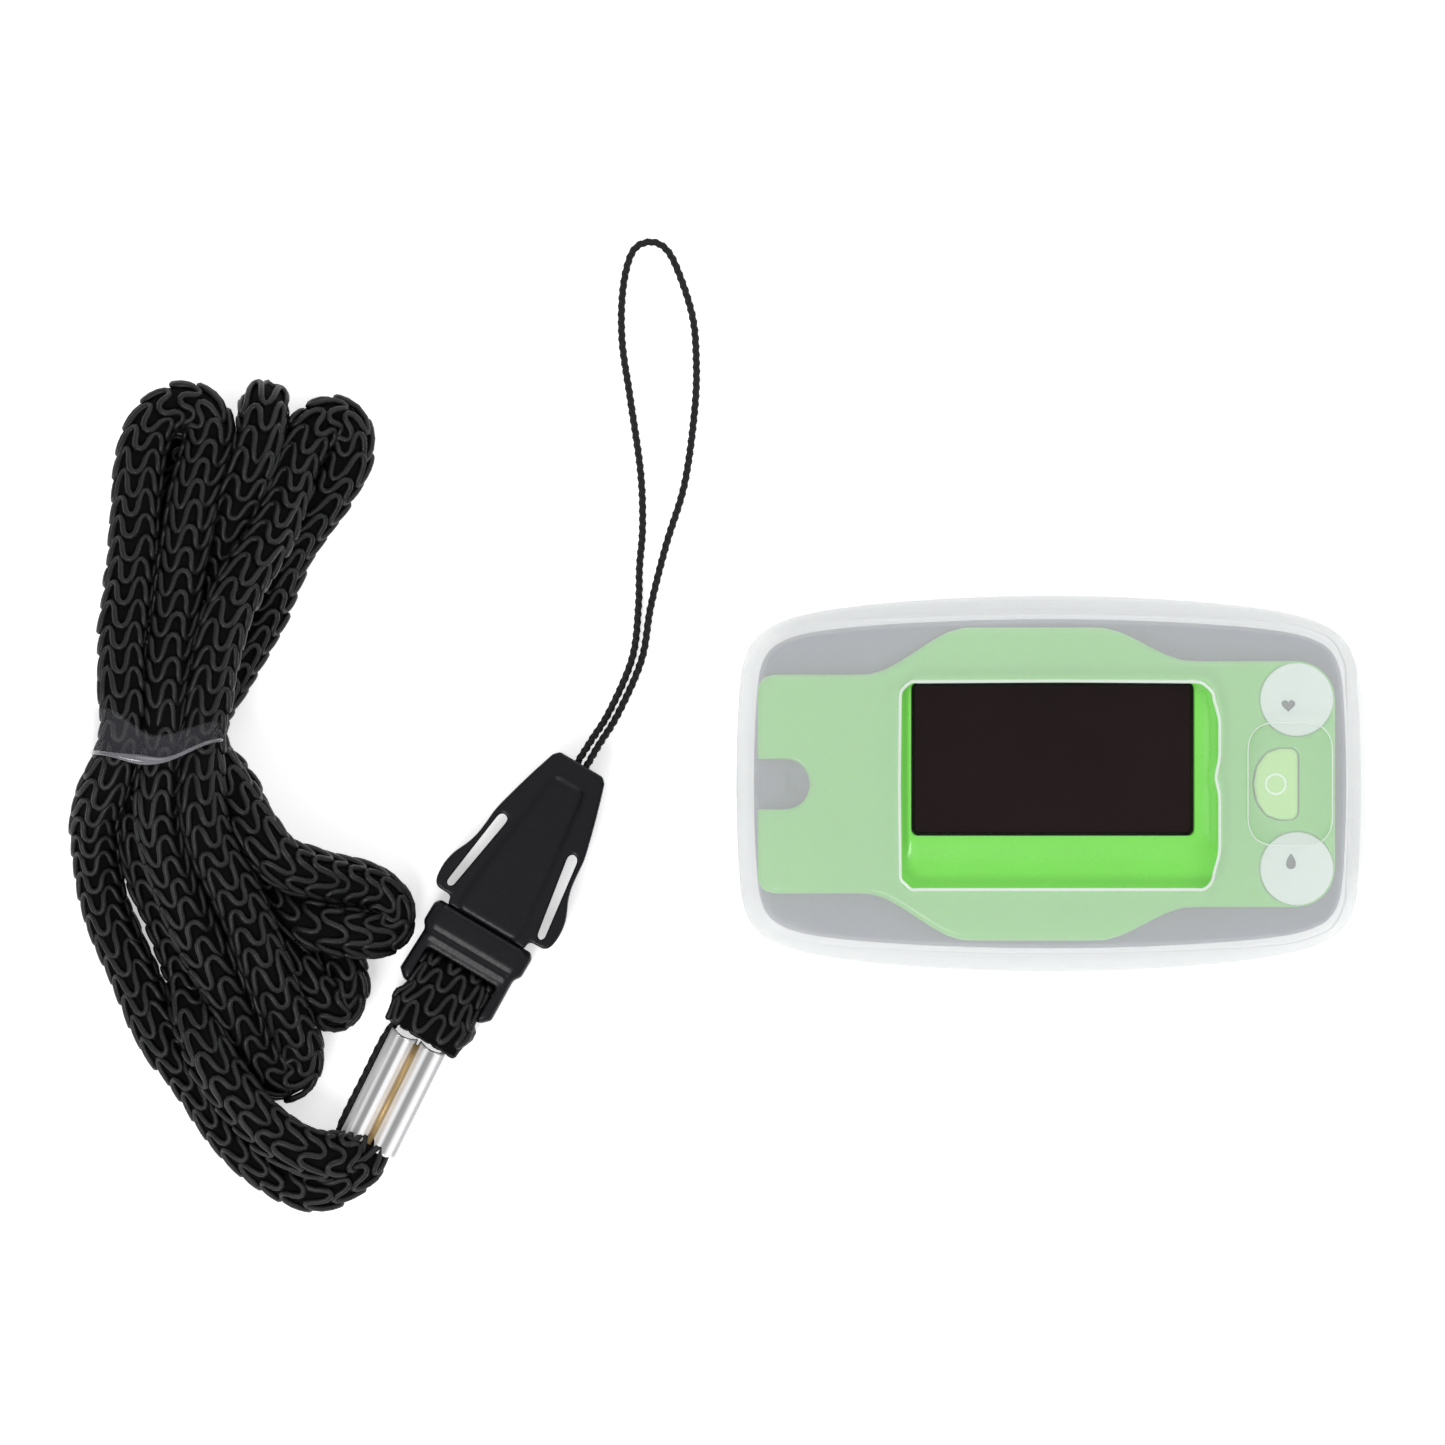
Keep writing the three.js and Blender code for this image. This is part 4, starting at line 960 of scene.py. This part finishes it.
def add_ferrule():
    angle = math.atan2(*FERRULE_RUN[::-1])
    # the ferrule's colour is painted reflections: grey and white streaks along its length
    sheet = painted_reflection_sheet("painted_reflection_sheet", FERRULE_BOTTOM, angle, 3.0)
    for name, middle in BARRELS.items():
        dress(barrel(name, middle), sheet, "steel", "lanyard", *(["ferrule"] if middle > 0 else []))
    seam_path = np.array([ferrule_point(t, 0, FERRULE_Z + 0.95) for t in (0.3, FERRULE_LENGTH - 0.3)])
    seam = tube("ferrule_seam", seam_path, 0.3, 16)
    dress(seam, brass, "steel", "lanyard")
    # painted dark reflection: a black twisted strip along the left barrel stands for the dark side of the
    # metal
    dark_reflection_points = [(-0.6, 2.9), (1.5, 3.15), (FERRULE_LENGTH / 2, 3.15), (FERRULE_LENGTH - 1.5, 3.15),
                   (FERRULE_LENGTH + 0.6, 2.9)]
    dark_reflection_path = smooth_path([ferrule_point(t, across, FERRULE_Z - 0.8) for t, across in dark_reflection_points], 0.3)
    edge = tube("ferrule_painted_dark_reflection", dark_reflection_path, 0.45, 12, lobes=3, lobe_depth=0.3, twist=24)
    dress(edge, string_black, "yarn", "lanyard")


add_frame_half()
add_release_half()
add_cord_head()
add_ferrule()

# ---- clear band round the hank ----
BAND_OUTLINE = [(-90.2, 0.5), (-80.6, 0.5), (-79.9, 13.8), (-92.0, 13.8), (-92.6, 6.5)]
BAND_RADII = [1.8, 2.4, 2.6, 2.6, 2.5]
BAND_POINTS = 120
# share of the way up the band, and how far the film stands off there: the outer side and then the inner one
FILM_SECTION = ((0, 0.1), (0.12, 0.28), (0.5, 0.2), (0.88, 0.26), (1, 0.1), (0.88, -0.08), (0.5, -0.1),
                (0.12, -0.1))


def band_loop():
    """The band's line round the bundle as x, z, and the outward direction at each point."""
    outline = round_corners(BAND_OUTLINE, BAND_RADII)
    closed = np.vstack([outline, outline[:1]])
    loop = even_steps(closed, path_length(closed) / BAND_POINTS)[:-1]
    outward = loop - loop.mean(axis=0)
    return loop, outward / np.linalg.norm(outward, axis=1)[:, None]


def add_band():
    loop, outward = band_loop()
    across = (loop[:, 0] - loop[:, 0].min()) / np.ptp(loop[:, 0])
    low_edge = 3.0 - 0.8 * np.sin(math.pi * across) ** 2 + 1.2 * smoothstep(across, 0.5, 1)
    high_edge = 7.3 - 2.6 * smoothstep(across, 0.1, 0.5) + 1.4 * smoothstep(across, 0.5, 1)

    def ring(share, swell):
        x, z = (loop + swell * outward).T
        return np.stack([x, low_edge * (1 - share) + high_edge * share, z], axis=1)

    film = closed_ring("hank_band_film", [ring(share, swell) for share, swell in FILM_SECTION])
    dress(film, band_film, "clear_band", "lanyard", "hank_tie")
    path = ring(0, 0.15)
    path = np.vstack([path, path[:2]])
    # thickest at the middle-left, where the grey edge paints a brighter highlight
    edge_glint_thickness = 0.20 + 0.30 * np.exp(-(((across - 0.38) / 0.16) ** 2))
    edge_glint_thickness = np.minimum(np.r_[edge_glint_thickness, edge_glint_thickness[:2]], path[:, 2])
    dress(tube("hank_band_low_edge", path, edge_glint_thickness, 10), rolled_edge_painted_glint, "clear_band", "lanyard")


add_band()

# ---- flexible ribbon across the hinge ----
RIBBON_ROWS = 40
RIBBON_SWAY = 0.35
RIBBON_HALF_THICKNESS = 0.1


def add_ribbon():
    low, high = box_of("sensor_ribbon")
    rings = []
    for share in np.arange(RIBBON_ROWS + 1) / RIBBON_ROWS:
        x = (low[0] + high[0]) / 2 + RIBBON_SWAY * math.sin(2 * math.pi * share)
        z = low[2] + (high[2] - low[2]) * share
        left, right = x - RIBBON_HALF_THICKNESS, x + RIBBON_HALF_THICKNESS
        rings.append([(left, low[1], z), (right, low[1], z), (right, high[1], z), (left, high[1], z)])
    ribbon = stack("sensor_ribbon_film", rings)
    ribbon.data.materials.append(amber_film)
    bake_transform(ribbon)
    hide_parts("sensor_ribbon")


add_ribbon()

# ---- finish of the CAD nodes that stay on show ----
CAD_ROUNDING = 0.12
CAD_FINISH = {
    grey_plastic: ["battery_door"],
    black_plastic: ["upper_tray", "lower_tray"],
    pad_rubber: ["upper_finger_pad", "lower_finger_pad"],
    white_plastic: ["badge_pulse", "badge_oxygen", "display_module", "emitter_led"],
    dark_glass: ["display_lens"],
    board_green: ["main_board", "sensor_board"],
    chip_black: ["processor_chip", "signal_chip", "tact_switch", "photodiode"],
    steel: ["hinge_pin", "hinge_spring_left", "hinge_spring_right", "board_screw_1", "board_screw_2",
            "tray_screw_1", "tray_screw_2"],
    nickel: ["rear_contact_spring", "front_contact_spring", "rear_plate_left", "rear_plate_right",
             "front_link_plate"],
    battery_sleeve: ["battery_left", "battery_right"],
}


def finish_cad_nodes():
    for surface, names in CAD_FINISH.items():
        for name in names:
            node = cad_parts[name]
            node.data.materials.clear()
            node.data.materials.append(surface)
            add_weld(node)
            bevel = node.modifiers.new("round", "BEVEL")
            bevel.width = CAD_ROUNDING * MM
            bevel.segments = 2
            bevel.limit_method = "ANGLE"
            bevel.angle_limit = math.radians(40)


finish_cad_nodes()
